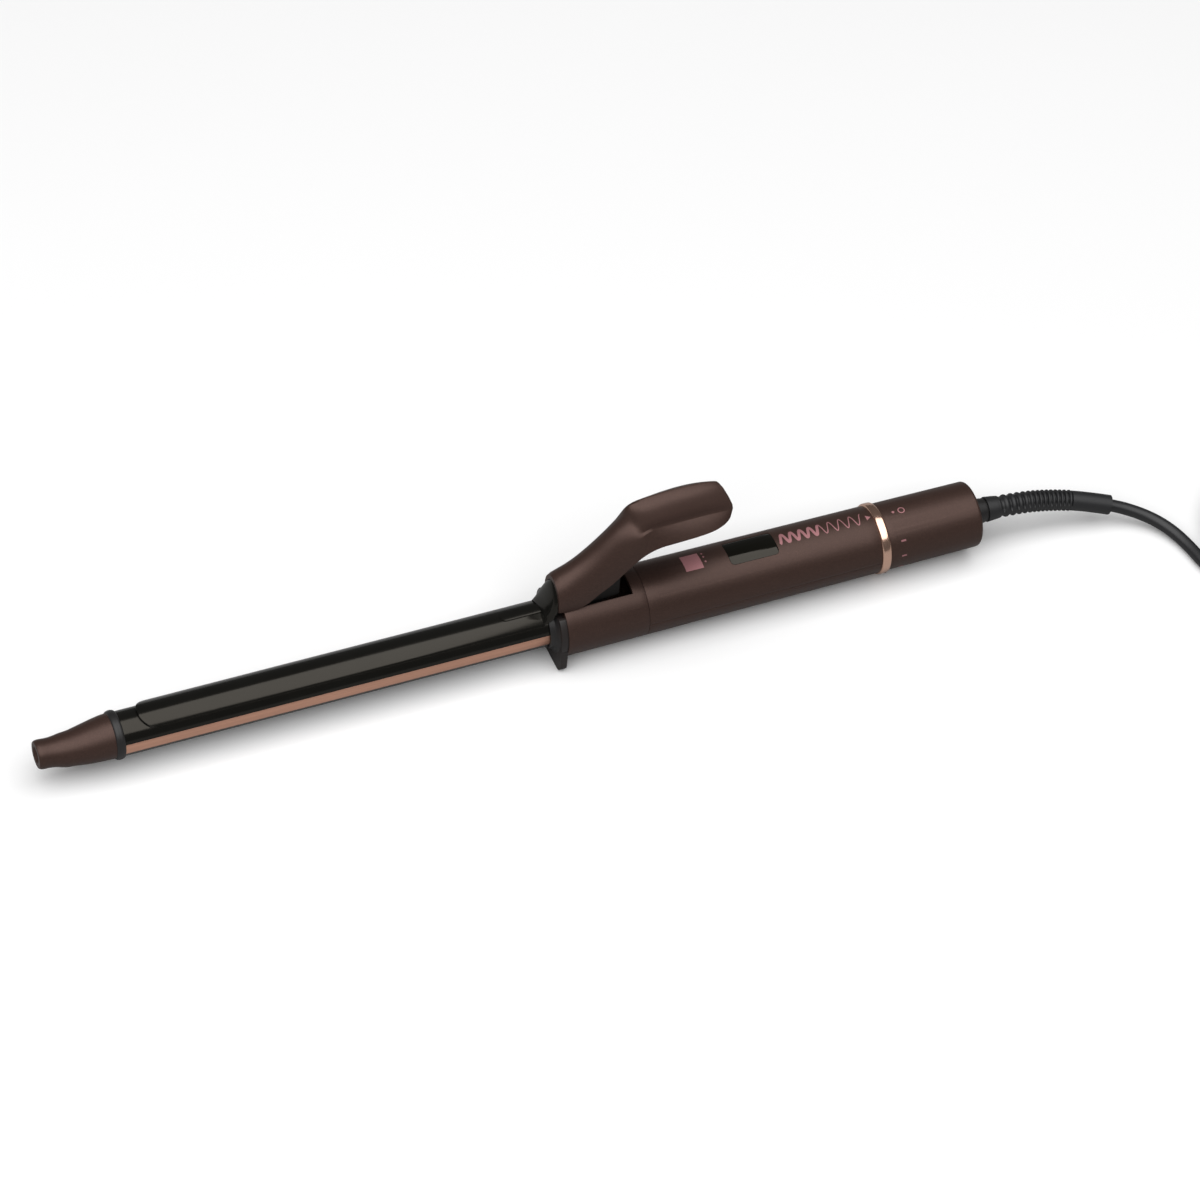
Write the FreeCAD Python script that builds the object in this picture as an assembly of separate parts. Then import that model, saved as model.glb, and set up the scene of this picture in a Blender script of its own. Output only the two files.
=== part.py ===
import FreeCAD, Part
import math
import os

# A mains curling iron with a sprung clamp, lying on its foot with the thumb lever upwards.
# Sizes are in millimetres. Stations run along the barrel's axis, from the tip (negative) to the
# cord (positive), with station 0 at the front of the black collar that carries the barrel.
# Heights y, z are measured from the axis, and the finished part is raised so that z = 0 is the floor.

V = FreeCAD.Vector

# ---- barrel and tip -------------------------------------------------------------------------
BARREL_R = 9.5
BARREL_WALL = 1.0
BARREL_LENGTH = 186.7
BARREL_GRIP = 8.6  # length of barrel held behind the collar's front
TIP_LENGTH = 32.5
TIP_RING_WIDTH = 2.5
TIP_HOLE_R = 2.5
TIP_HOLE_DEPTH = 12.0
TIP_HOLE_CHAMFER = 1.3
SPIGOT_CLEARANCE = 0.1
STRIP_HALF_ANGLE = 16.0
STRIP_DEPTH = 0.3
STRIP_PROUD = 0.06

# ---- heater ---------------------------------------------------------------------------------
HEATER_SET_BACK = 18.7  # from the barrel's front edge
HEATER_END = -22.0
HEATER_PACK_WIDTH = 12.0
HEATER_PACK_THICK = 2.6
CORE_CLEARANCE = 0.15
WIRE_R = 0.8
WIRE_SPREAD = 4.4
WIRE_DROP = 4.6
SENSOR_WIRE_SIDE = 5.4
SENSOR_WIRE_DROP = 1.2

# ---- handle ---------------------------------------------------------------------------------
HOUSING_R = 15.5
HANDLE_R = 15.3
HANDLE_REAR_R = 14.7
HANDLE_WALL = 2.0
COLLAR_LENGTH = 3.3
FOOT_THICK = 3.0
FOOT_DEPTH = 17.2  # from the axis down to the flat that the iron rests on
FOOT_HALF_WIDTH = 14.7
FOOT_CORNER_R = 4.5
FOOT_TOP = 11.2
HOUSING_LENGTH = 36.5
HANDLE_LENGTH = 107.8
TRIM_WIDTH = 2.8
TRIM_PROUD = 0.12
TRIM_BORE_R = 12.0
SHELL_GAP = 0.08
SEAM_GAP = 0.15
JOINT_CLEARANCE = 0.1
SPIGOT_LENGTH = 5.0

# ---- lever, clamp and pivot -----------------------------------------------------------------
PIVOT_STATION = 15.0
PIVOT_HEIGHT = 8.0
PIN_R = 1.5
PIN_HALF_LENGTH = 12.0
PIN_CLEARANCE = 0.05
CHEEK_HALF_WIDTH = 6.2
CHEEK_THICK = 1.6
CHEEK_BOSS_R = 3.6
SLOT_HALF_WIDTH = 7.4
SLOT_END = 37.4
LANDING_HEIGHT = 13.4
LANDING_HALF_WIDTH = 10.4
LANDING_END = 16.5
CLAMP_GAP = 0.35
CLAMP_THICK = 0.95
CLAMP_HALF_ANGLE = 45.0
CLAMP_LENGTH = 176.4
CLAMP_REAR = -1.8
CLAMP_NOSE_R = 6.5
NECK_THICK = 1.4
TONGUE_LENGTH = 17.5
TONGUE_HALF_WIDTH = 2.4
TONGUE_THICK = 0.45
SPRING_WIRE_R = 0.4
SPRING_COIL_R = 2.3
SPRING_PITCH = 0.95
SPRING_REST_LOW = -3.2
LEVER_WALL = 1.5
LEVER_TOP_WALL = 2.1

# ---- display, dial and swivel ---------------------------------------------------------------
WINDOW_START = 82.8
WINDOW_LENGTH = 22.1
WINDOW_HALF_WIDTH = 6.25
WINDOW_CORNER_R = 1.8
WINDOW_THICK = 1.9
WINDOW_SUNK = 0.12
WINDOW_FIT = 0.1
BOARD_START = 60.0
BOARD_LENGTH = 74.0
BOARD_HALF_WIDTH = 10.5
BOARD_THICK = 1.6
BOARD_HEIGHT = 4.0
DIAL_GAP = 0.3
DIAL_LENGTH = 43.8
DIAL_FRONT_R = 14.6
DIAL_REAR_R = 14.3
DIAL_EDGE_R = 1.5
DIAL_WALL = 2.0
SPINDLE_R = 6.4
SPINDLE_BORE_R = 4.9
SPINDLE_END = 192.5
RUNNING_CLEARANCE = 0.08
SWIVEL_FRONT_R = 6.2
SWIVEL_REAR_R = 5.0
SWIVEL_LENGTH = 7.0
STEM_R = 3.4
STEM_LENGTH = 13.0

# ---- cord -----------------------------------------------------------------------------------
CORD_D = 5.5
RELIEF_REAR_R = 4.1
COIL_TURNS_WIDE = 3
COIL_MEAN_R = 31.5
COIL_AWAY = 131.5  # from the cord outlet to the coil's middle, along the iron
COIL_ASIDE = -44.0
COIL_JOIN_ANGLE = 250.0
TIE_THICK = 0.8
TIE_WIDTH = 9.0
PLUG_LENGTH = 34.0
PLUG_WIDTH = 34.0
PLUG_THICK = 13.6
PLUG_PIN_R = 2.0
PLUG_PIN_LENGTH = 19.0
PLUG_PIN_SPACING = 18.6

# ---- stations worked out from the sizes above -------------------------------------------------
BARREL_FRONT = -BARREL_LENGTH
HEATER_START = BARREL_FRONT + HEATER_SET_BACK
RING_FRONT = BARREL_FRONT - TIP_RING_WIDTH
TIP_FRONT = RING_FRONT - TIP_LENGTH
FOOT_FRONT = COLLAR_LENGTH
HOUSING_FRONT = FOOT_FRONT + FOOT_THICK
HOUSING_REAR = HOUSING_FRONT + HOUSING_LENGTH
HANDLE_REAR = HOUSING_REAR + HANDLE_LENGTH
TRIM_REAR = HANDLE_REAR + TRIM_WIDTH
DIAL_FRONT = TRIM_REAR + DIAL_GAP
DIAL_REAR = DIAL_FRONT + DIAL_LENGTH
SWIVEL_REAR = DIAL_REAR + SWIVEL_LENGTH
COIL_CENTRE = (SWIVEL_REAR + COIL_AWAY, COIL_ASIDE)
TERMINAL_FRONT = BOARD_START + 1.0
BARREL_BORE_R = BARREL_R - BARREL_WALL
HANDLE_BORE_R = HANDLE_R - HANDLE_WALL
CLAMP_BORE_R = BARREL_R + CLAMP_GAP
CLAMP_R = CLAMP_BORE_R + CLAMP_THICK
FLOOR = -FOOT_DEPTH
MIDDLE = (TIP_FRONT + SWIVEL_REAR) / 2
FAR = 500.0


# ---- simple shapes --------------------------------------------------------------------------
def rod(start, end, r, y=0.0, z=0.0):
    """A cylinder along the axis."""
    return Part.makeCylinder(r, end - start, V(start, y, z), V(1, 0, 0))


def tube(start, end, outer, inner):
    return rod(start, end, outer).cut(rod(start - 1, end + 1, inner))


def cone(start, end, r_start, r_end):
    """A cone along the axis, or a cylinder where both ends are alike."""
    if abs(r_start - r_end) < 1e-6:
        return rod(start, end, r_start)
    return Part.makeCone(r_start, r_end, end - start, V(start, 0, 0), V(1, 0, 0))


def pin_across(y0, y1, r, station, height):
    """A cylinder across the part, along Y."""
    return Part.makeCylinder(r, y1 - y0, V(station, y0, height), V(0, 1, 0))


def post(station, z0, z1, r, y=0.0):
    """An upright cylinder."""
    return Part.makeCylinder(r, z1 - z0, V(station, y, z0), V(0, 0, 1))


def box(x0, x1, y0, y1, z0, z1):
    return Part.makeBox(x1 - x0, y1 - y0, z1 - z0, V(x0, y0, z0))


def turned(profile):
    """A body of revolution about the axis, from (station, radius) corners."""
    points = [V(s, 0, r) for s, r in profile]
    face = Part.Face(Part.makePolygon(points + points[:1]))
    return face.revolve(V(0, 0, 0), V(1, 0, 0), 360)


def sector(start, end, inner, outer, middle, half):
    """Part of a tube: angles in degrees from straight up, positive towards the near side (-Y)."""
    points = [V(start, 0, inner), V(end, 0, inner), V(end, 0, outer), V(start, 0, outer)]
    face = Part.Face(Part.makePolygon(points + points[:1]))
    face.rotate(V(0, 0, 0), V(1, 0, 0), middle - half)
    return face.revolve(V(0, 0, 0), V(1, 0, 0), 2 * half)


def prism(outline, y0, y1):
    """A side outline of (station, height) corners, extruded across the part."""
    points = [V(s, y0, z) for s, z in outline]
    face = Part.Face(Part.makePolygon(points + points[:1]))
    return face.extrude(V(0, y1 - y0, 0))


def joined(first, *others):
    return first.fuse(list(others)).removeSplitter() if others else first


def curved_strip(points):
    """A spline through points, as an edge."""
    curve = Part.BSplineCurve()
    curve.interpolate(points)
    return curve.toShape()


NODES = {}


def keep(name, *shapes):
    """Files one or more solids under a node name."""
    NODES[name] = shapes[0] if len(shapes) == 1 else Part.makeCompound(list(shapes))


# ---- barrel, tip and heater -------------------------------------------------------------------
# Tip profile: share of the tip's length, radius, and how far the circle's centre sits below the axis.
TIP_SECTIONS = [
    (0.0, 5.6, 0.0),
    (0.022, 6.05, 0.05),
    (0.145, 6.2, 0.35),
    (0.29, 6.85, 0.95),
    (0.435, 7.45, 1.2),
    (0.575, 8.1, 1.0),
    (0.735, 8.85, 0.55),
    (0.87, 9.35, 0.12),
    (1.0, BARREL_R, 0.0),
]


def tip_cap():
    circles = []
    for share, r, drop in TIP_SECTIONS:
        centre = V(TIP_FRONT + share * TIP_LENGTH, 0, -drop)
        circles.append(Part.Wire(Part.makeCircle(r, centre, V(1, 0, 0))))
    body = Part.makeLoft(circles, True, False)
    spigot = rod(RING_FRONT - 1, BARREL_FRONT + SPIGOT_LENGTH, BARREL_BORE_R - SPIGOT_CLEARANCE)
    hole = rod(TIP_FRONT - 1, TIP_FRONT + TIP_HOLE_DEPTH, TIP_HOLE_R)
    mouth = cone(TIP_FRONT - 0.1, TIP_FRONT + TIP_HOLE_CHAMFER, TIP_HOLE_R + TIP_HOLE_CHAMFER, TIP_HOLE_R)
    screw_way = rod(TIP_FRONT, BARREL_FRONT + SPIGOT_LENGTH + 1, 1.6)
    return joined(body, spigot).cut(hole).cut(mouth).cut(screw_way)


def tip_screw():
    seat = TIP_FRONT + TIP_HOLE_DEPTH
    head = rod(seat - 1.6, seat, TIP_HOLE_R - 0.2)
    slot = box(seat - 2, seat - 1.0, -0.3, 0.3, -3, 3)
    return joined(head, rod(seat, HEATER_START + 6, 1.4)).cut(slot)


def tip_collar():
    """Black insulating ring with a groove round its middle."""
    groove_at = (RING_FRONT + BARREL_FRONT) / 2
    r = BARREL_R + 0.1
    ring = tube(RING_FRONT, BARREL_FRONT, r, BARREL_BORE_R)
    return ring.cut(tube(groove_at - 0.2, groove_at + 0.2, r + 1, r - 0.35))


def strip_angles():
    return (90.0, -90.0)


def barrel_tube():
    shell = tube(BARREL_FRONT, BARREL_GRIP, BARREL_R, BARREL_BORE_R)
    for middle in strip_angles():
        shell = shell.cut(
            sector(BARREL_FRONT - 1, 0, BARREL_R - STRIP_DEPTH, BARREL_R + 1, middle, STRIP_HALF_ANGLE)
        )
    return shell


def barrel_strips():
    inner = BARREL_R - STRIP_DEPTH
    outer = BARREL_R + STRIP_PROUD
    return [sector(BARREL_FRONT, 0, inner, outer, a, STRIP_HALF_ANGLE - 0.2) for a in strip_angles()]


def heater_core(upper):
    """One half of the aluminium core that presses the heater pack against the barrel."""
    whole = rod(HEATER_START, HEATER_END, BARREL_BORE_R - CORE_CLEARANCE)
    pocket = box(
        HEATER_START - 1,
        HEATER_END + 1,
        -HEATER_PACK_WIDTH / 2 - 0.2,
        HEATER_PACK_WIDTH / 2 + 0.2,
        -HEATER_PACK_THICK / 2 - 0.05,
        HEATER_PACK_THICK / 2 + 0.05,
    )
    if upper:
        keep_side = box(-FAR, FAR, -FAR, FAR, 0.3, FAR)
        screw_tap = rod(HEATER_START - 1, HEATER_START + 6.5, 1.5)
        return whole.cut(pocket).common(keep_side).cut(screw_tap)
    keep_side = box(-FAR, FAR, -FAR, FAR, -FAR, -0.3)
    return whole.cut(pocket).common(keep_side).cut(rod(HEATER_START - 1, HEATER_START + 6.5, 1.5))


def ptc_heater():
    half_w = HEATER_PACK_WIDTH / 2
    half_t = HEATER_PACK_THICK / 2
    return box(HEATER_START + 10, HEATER_END - 6, -half_w, half_w, -half_t, half_t)


def barrel_plug():
    """Ceramic plug in the barrel's rear end, with ways for the wires."""
    plug = rod(-6, BARREL_GRIP, BARREL_BORE_R - SPIGOT_CLEARANCE)
    for y in (-WIRE_SPREAD, WIRE_SPREAD):
        plug = plug.cut(rod(-7, BARREL_GRIP + 1, WIRE_R + 0.15, y, -WIRE_DROP))
    return plug.cut(rod(-7, BARREL_GRIP + 1, WIRE_R, -SENSOR_WIRE_SIDE, -SENSOR_WIRE_DROP))


def heater_wires():
    """Two sleeved wires from the heater's end to the control board."""
    wires = []
    for y in (-WIRE_SPREAD, WIRE_SPREAD):
        wires.append(rod(HEATER_END + 0.5, TERMINAL_FRONT - 0.1, WIRE_R, y, -WIRE_DROP))
    return wires


def thermistor():
    y = -SENSOR_WIRE_SIDE
    z = -SENSOR_WIRE_DROP
    bead = rod(HEATER_END + 1, HEATER_END + 5, 1.2, y, z)
    return joined(bead, rod(HEATER_END + 4.5, TERMINAL_FRONT - 0.1, WIRE_R * 0.7, y, z))


def thermal_fuse():
    body = rod(HEATER_END + 3, HEATER_END + 13, 1.9, 0, 3.6)
    return joined(body, rod(HEATER_END + 0.4, HEATER_END + 15, 0.4, 0, 3.6))


# ---- collar, foot and fulcrum housing -----------------------------------------------------------
def neck_way(clearance):
    """Space above the barrel through which the clamp's neck rises."""
    low = BARREL_R + 1.1 - clearance
    half = LEVER_INNER_FRONT + clearance
    return box(-1, HOUSING_FRONT + 6, -half, half, low, 40)


LEVER_INNER_FRONT = 8.3


def front_collar():
    """Black insulating collar round the barrel's root."""
    profile = [
        (0, BARREL_R + STRIP_PROUD + 0.05),
        (0, BARREL_R + 0.9),
        (COLLAR_LENGTH - 0.9, BARREL_R + 1.5),
        (COLLAR_LENGTH, BARREL_R + 3.6),
        (COLLAR_LENGTH, BARREL_R + STRIP_PROUD + 0.05),
    ]
    return turned(profile).cut(neck_way(0.6))


def foot_outline(start, end):
    """Round plate with a flat, square-shouldered bottom that stops the iron rolling."""
    disc = rod(start, end, HOUSING_R - 0.4)
    block = box(start, end, -FOOT_HALF_WIDTH, FOOT_HALF_WIDTH, FLOOR, -4.0)
    low_edges = [
        e
        for e in block.Edges
        if abs(e.BoundBox.ZMin - FLOOR) < 1e-3 and abs(e.BoundBox.ZMax - FLOOR) < 1e-3
        and e.BoundBox.YLength < 1e-3
    ]
    return joined(disc, block.makeFillet(FOOT_CORNER_R, low_edges))


def stand_foot():
    plate = foot_outline(FOOT_FRONT, HOUSING_FRONT)
    bore = rod(FOOT_FRONT - 1, HOUSING_FRONT + 1, BARREL_R + 0.08)
    top = box(FOOT_FRONT - 1, HOUSING_FRONT + 1, -FAR, FAR, FOOT_TOP, FAR)
    return plate.cut(bore).cut(neck_way(0.5)).cut(top)


def front_housing():
    """Lower fulcrum shell: grips the barrel, holds the pin and is slotted for the lever."""
    outside = cone(HOUSING_FRONT, HOUSING_REAR - SEAM_GAP, HOUSING_R, HANDLE_R)
    body = outside.cut(rod(HOUSING_FRONT - 1, HOUSING_REAR + 1, HANDLE_BORE_R))
    bulkhead = rod(HOUSING_FRONT, BARREL_GRIP, HANDLE_R - 0.5)
    spigot = tube(HOUSING_REAR - 3, HOUSING_REAR + SPIGOT_LENGTH, HANDLE_BORE_R - JOINT_CLEARANCE, 11.6)
    spigot_root = tube(HOUSING_REAR - 4, HOUSING_REAR - 1, HANDLE_BORE_R + 0.5, 11.6)
    bosses = [
        pin_across(y0, y0 + 7.0, CHEEK_BOSS_R, PIVOT_STATION, PIVOT_HEIGHT)
        for y0 in (-CHEEK_HALF_WIDTH - 7.5, CHEEK_HALF_WIDTH + 0.5)
    ]
    bosses = [b.common(rod(HOUSING_FRONT, HOUSING_REAR, HANDLE_BORE_R + 0.5)) for b in bosses]
    rest_front = PIVOT_STATION + SPRING_COIL_R + SPRING_WIRE_R + 0.05
    spring_rest = box(rest_front, rest_front + 2, 1.0, HANDLE_R, SPRING_REST_LOW, SPRING_REST_LOW + 3.7)
    spring_rest = spring_rest.common(rod(0, 40, HANDLE_BORE_R + 0.5))
    body = joined(body, bulkhead, spigot, spigot_root, spring_rest, *bosses)
    body = body.cut(rod(HOUSING_FRONT - 1, BARREL_GRIP + 0.2, BARREL_R + 0.02))
    slot = box(HOUSING_FRONT - 1, SLOT_END, -SLOT_HALF_WIDTH, SLOT_HALF_WIDTH, 10.2, 40)
    landing = box(
        HOUSING_FRONT - 1, LANDING_END, -LANDING_HALF_WIDTH, LANDING_HALF_WIDTH, LANDING_HEIGHT, 40
    )
    pin_hole = pin_across(-PIN_HALF_LENGTH - 0.1, PIN_HALF_LENGTH + 0.1, PIN_R, PIVOT_STATION, PIVOT_HEIGHT)
    return body.cut(slot).cut(landing).cut(pin_hole)


def pivot_pin():
    return pin_across(-PIN_HALF_LENGTH, PIN_HALF_LENGTH, PIN_R, PIVOT_STATION, PIVOT_HEIGHT)


def clamp_spring():
    """Torsion spring round the pin: one leg up against the fork, one down on the housing's stop."""
    turns = 6
    length = SPRING_PITCH * turns
    helix = Part.makeHelix(SPRING_PITCH, length, SPRING_COIL_R)
    helix.rotate(V(0, 0, 0), V(1, 0, 0), -90)
    helix.translate(V(PIVOT_STATION, -length / 2, PIVOT_HEIGHT))
    first = helix.Edges[0]
    at = first.valueAt(first.FirstParameter)
    along = first.tangentAt(first.FirstParameter)
    section = Part.Wire(Part.makeCircle(SPRING_WIRE_R, at, along))
    coil = Part.Wire(helix.Edges).makePipeShell([section], True, True)
    station = PIVOT_STATION + SPRING_COIL_R
    upright = post(station, PIVOT_HEIGHT - 0.2, PIVOT_HEIGHT + 13.5, SPRING_WIRE_R, -length / 2)
    low_leg = post(station, SPRING_REST_LOW + 0.6, PIVOT_HEIGHT + 0.2, SPRING_WIRE_R, length / 2)
    return joined(coil, upright, low_leg)


# ---- clamp plate, neck, bracket and lever -------------------------------------------------------
def clamp_plate():
    """Curved blade that presses the hair on the barrel, with a rounded front."""
    front = CLAMP_REAR - CLAMP_LENGTH
    blade = sector(front, CLAMP_REAR, CLAMP_BORE_R, CLAMP_R, 0, CLAMP_HALF_ANGLE)
    half_width = CLAMP_R * math.sin(math.radians(CLAMP_HALF_ANGLE))
    plan = box(front, CLAMP_REAR, -half_width - 0.01, half_width + 0.01, 0, 30)
    corners = [e for e in plan.Edges if e.BoundBox.ZLength > 20 and e.BoundBox.XMax < front + 0.1]
    return blade.common(plan.makeFillet(CLAMP_NOSE_R, corners))


def neck_section(station, half, base, top, tuck, inset):
    """Closed arch outline across the part, drawn in at its base by the share tuck."""
    w = half - inset
    t = top - inset
    b = base - (0.6 if inset else 0.0)
    shares = (1.0, 0.94, 0.77, 0.42, 0.0, -0.42, -0.77, -0.94, -1.0)
    points = [V(station, -w * k, b + (t - b) * math.sqrt(1 - k * k)) for k in shares]
    points[0].y *= 1 - tuck
    points[-1].y *= 1 - tuck
    arch = curved_strip(points)
    return Part.Wire([arch, Part.makeLine(points[-1], points[0])])


NECK_STATIONS = [
    # station, half width, base height, top height, share drawn in at the base
    (CLAMP_REAR - 0.2, 7.55, 7.4, CLAMP_R + 0.15, 0.0),
    (3.4, 7.4, 13.7, 24.6, 0.18),
]


def clamp_neck():
    """Flared black neck from the blade up into the lever, with a rounded tongue on the blade."""
    outer = Part.makeLoft([neck_section(*row, 0.0) for row in NECK_STATIONS], True, True)
    inner = Part.makeLoft([neck_section(*row, NECK_THICK) for row in NECK_STATIONS], True, True)
    last = NECK_STATIONS[-1]
    rear = neck_section(*last, 0.0)
    sleeve = Part.Face(rear).extrude(V(3.4, 0, 0))
    hollow = Part.Face(neck_section(*last, NECK_THICK)).extrude(V(3.4, 0, 0))
    shell = outer.fuse(sleeve).cut(inner).cut(hollow)
    shell = shell.cut(rod(-20, 20, CLAMP_R + 0.02))
    start = CLAMP_REAR - TONGUE_LENGTH
    tongue = sector(start, CLAMP_REAR + 1.6, CLAMP_R + 0.02, CLAMP_R + TONGUE_THICK, 0, 20)
    plan = joined(
        box(start + TONGUE_HALF_WIDTH, CLAMP_REAR + 2, -TONGUE_HALF_WIDTH, TONGUE_HALF_WIDTH, 0, 30),
        post(start + TONGUE_HALF_WIDTH, 0, 30, TONGUE_HALF_WIDTH),
    )
    solids = shell.fuse(tongue.common(plan)).removeSplitter().Solids
    return max(solids, key=lambda s: s.Volume)


def rivet_stations():
    return (CLAMP_REAR - 5.0, CLAMP_REAR - 11.0)


# Lever sections: station, half width, crest height, edge height, how far the section has changed
# from a plain arch (0) to the flat pad (1), the depth of the pad's finger channel, and the share
# by which the arch draws in towards its edge.
LEVER_FRONT = 3.6
LEVER_SECTIONS = [
    (5.0, 9.3, 27.4, 13.65, 0.0, 0.0, 0.16),
    (8.5, 9.7, 29.2, 13.7, 0.0, 0.0, 0.16),
    (12.0, 9.8, 31.4, 14.0, 0.0, 0.0, 0.15),
    (16.0, 9.8, 34.2, 16.2, 0.0, 0.0, 0.1),
    (21.0, 9.6, 38.6, 20.6, 0.0, 0.0, 0.05),
    (26.0, 9.5, 44.0, 24.8, 0.0, 0.0, 0.0),
    (30.5, 9.8, 48.2, 29.5, 0.05, 0.0, 0.0),
    (35.0, 10.4, 50.9, 35.2, 0.35, 0.5, 0.0),
    (39.5, 11.3, 52.0, 40.4, 0.8, 2.2, 0.0),
    (45.0, 12.2, 52.8, 43.9, 1.0, 3.0, 0.0),
    (53.0, 13.0, 53.4, 45.4, 1.0, 3.2, 0.0),
    (61.0, 13.3, 53.7, 46.2, 1.0, 3.2, 0.0),
    (68.0, 13.1, 53.8, 46.9, 1.0, 3.0, 0.0),
    (73.0, 12.4, 53.6, 47.9, 1.0, 2.6, 0.0),
    (76.5, 11.1, 53.2, 49.0, 1.0, 2.1, 0.0),
    (79.2, 9.2, 52.6, 50.2, 1.0, 1.2, 0.0),
]
LEVER_FRONT_SECTION = (LEVER_FRONT, 8.8, 26.3, 13.65, 0.0, 0.0, 0.16)
LEVER_SHARES = (1.0, 0.97, 0.73, 0.4, 0.0)
LEVER_RIDGE = 8.6


def lever_wire(row, inset, lower):
    """Closed section of the lever: an arch that turns into a ridged pad with a dip between."""
    station, half, crest, edge, pad, dip, tuck = row
    w = half - inset
    rise = crest - edge
    ridge = (1 - pad) * LEVER_SHARES[2] + pad * min(0.92, LEVER_RIDGE / half)
    across = (1.0 - tuck, 0.97, ridge, LEVER_SHARES[3], 0.0)
    flats = (0.0, 0.36 * rise, rise, rise - 0.62 * dip, rise - dip)
    height = []
    for k, flat in zip(LEVER_SHARES, flats):
        height.append((1 - pad) * math.sqrt(1 - k * k) * rise + pad * flat)
    if inset:
        height = [max(h - lower * min(1.0, 1.6 * (1 - k)), 0.0) for h, k in zip(height, LEVER_SHARES)]
    lift = 0.8 if inset else 0.0
    left = [V(station, -w * across[0], edge - lift)]
    for k, h in zip(across[1:], height[1:]):
        left.append(V(station, -w * k, edge + h))
    right = [V(p.x, -p.y, p.z) for p in reversed(left[:-1])]
    points = left + right
    return Part.Wire([curved_strip(points), Part.makeLine(points[-1], points[0])])


def lever_slope(index):
    """Steepness of the lever's crest at one of its sections."""
    low = LEVER_SECTIONS[max(index - 1, 0)]
    high = LEVER_SECTIONS[min(index + 1, len(LEVER_SECTIONS) - 1)]
    return (high[2] - low[2]) / (high[0] - low[0])


def lever_bodies():
    """The lever's full outer form and the hollow under it."""
    outer_rows = [lever_wire(row, 0.0, 0.0) for row in LEVER_SECTIONS]
    front = Part.makeLoft([lever_wire(LEVER_FRONT_SECTION, 0.0, 0.0), outer_rows[0]], True, True)
    outer = Part.makeLoft(outer_rows, True, False).fuse(front)
    inner_rows = []
    for i, row in enumerate(LEVER_SECTIONS[:-2]):
        top_wall = LEVER_TOP_WALL * math.sqrt(1 + lever_slope(i) ** 2)
        inner_rows.append(lever_wire(row, LEVER_WALL, top_wall))
    inner = Part.makeLoft(inner_rows, True, False)
    mouth_row = (LEVER_FRONT - 1.0,) + LEVER_SECTIONS[0][1:]
    mouth = Part.makeLoft([lever_wire(mouth_row, LEVER_WALL, LEVER_TOP_WALL), inner_rows[0]], True, True)
    return outer, inner, mouth


LEVER_SCREWS = (12.5, 22.0)
LEVER_BOSS_R = 2.3
LEVER_PAD_RISE = 2.8
LEVER_SEAT_DROP = 4.2


def bracket_top(station):
    """Height of the bracket's web under the lever's crest."""
    rows = LEVER_SECTIONS
    for low, high in zip(rows, rows[1:]):
        if low[0] <= station <= high[0]:
            share = (station - low[0]) / (high[0] - low[0])
            return low[2] + share * (high[2] - low[2]) - 8.2
    return rows[0][2] - 8.2


def thumb_lever():
    outer, inner, mouth = lever_bodies()
    shell = outer.cut(inner).cut(mouth)
    for s in LEVER_SCREWS:
        seat = bracket_top(s) + LEVER_PAD_RISE
        boss = post(s, seat + 0.05, 60, LEVER_BOSS_R).common(outer)
        shell = shell.fuse(boss)
        shell = shell.cut(post(s, seat - 1, seat + 2.6, 1.05))
    return max(shell.removeSplitter().Solids, key=lambda s: s.Volume)


def clamp_bracket():
    """Steel fork inside the lever: two cheeks on the pin, joined by a web."""
    web_line = [(s, bracket_top(s)) for s in (7.2, 12.0, 17.0, 22.0, 26.0, 30.0)]
    under = [(s, z - CHEEK_THICK) for s, z in reversed(web_line)]
    web = prism(web_line + under, -CHEEK_HALF_WIDTH, CHEEK_HALF_WIDTH)
    cheek = web_line + [
        (31.4, 24.0),
        (31.4, 14.6),
        (24.0, 13.2),
        (PIVOT_STATION + 3.0, PIVOT_HEIGHT - 1.2),
        (PIVOT_STATION, PIVOT_HEIGHT - CHEEK_BOSS_R),
        (PIVOT_STATION - 3.2, PIVOT_HEIGHT - 0.6),
        (7.2, 13.0),
    ]
    inner = CHEEK_HALF_WIDTH - CHEEK_THICK
    cheeks = [prism(cheek, -CHEEK_HALF_WIDTH, -inner), prism(cheek, inner, CHEEK_HALF_WIDTH)]
    body = joined(web, *cheeks)
    hole = pin_across(-20, 20, PIN_R + PIN_CLEARANCE, PIVOT_STATION, PIVOT_HEIGHT)
    body = body.cut(hole)
    for s in LEVER_SCREWS:
        pad = post(s, bracket_top(s) - LEVER_SEAT_DROP, bracket_top(s) + LEVER_PAD_RISE, LEVER_BOSS_R)
        body = body.fuse(pad).cut(post(s, bracket_top(s) - 6, bracket_top(s) + 6, 1.2))
    return body.removeSplitter()


def lever_screws():
    """Two screws that pull the lever down on the bracket, heads below the web."""
    screws = []
    for s in LEVER_SCREWS:
        seat = bracket_top(s) - LEVER_SEAT_DROP - 0.02
        head = post(s, seat - 1.4, seat, 2.0)
        screws.append(joined(head, post(s, seat - 0.1, bracket_top(s) + LEVER_PAD_RISE + 2.4, 1.0)))
    return screws


# ---- handle shells and what they hold ------------------------------------------------------------
def handle_radius(station):
    share = (station - HOUSING_REAR) / HANDLE_LENGTH
    return HANDLE_R + share * (HANDLE_REAR_R - HANDLE_R)


SHELL_SCREWS = (HOUSING_REAR + 11.2, HANDLE_REAR - 8.6)
BOSS_R = 3.0


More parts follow.
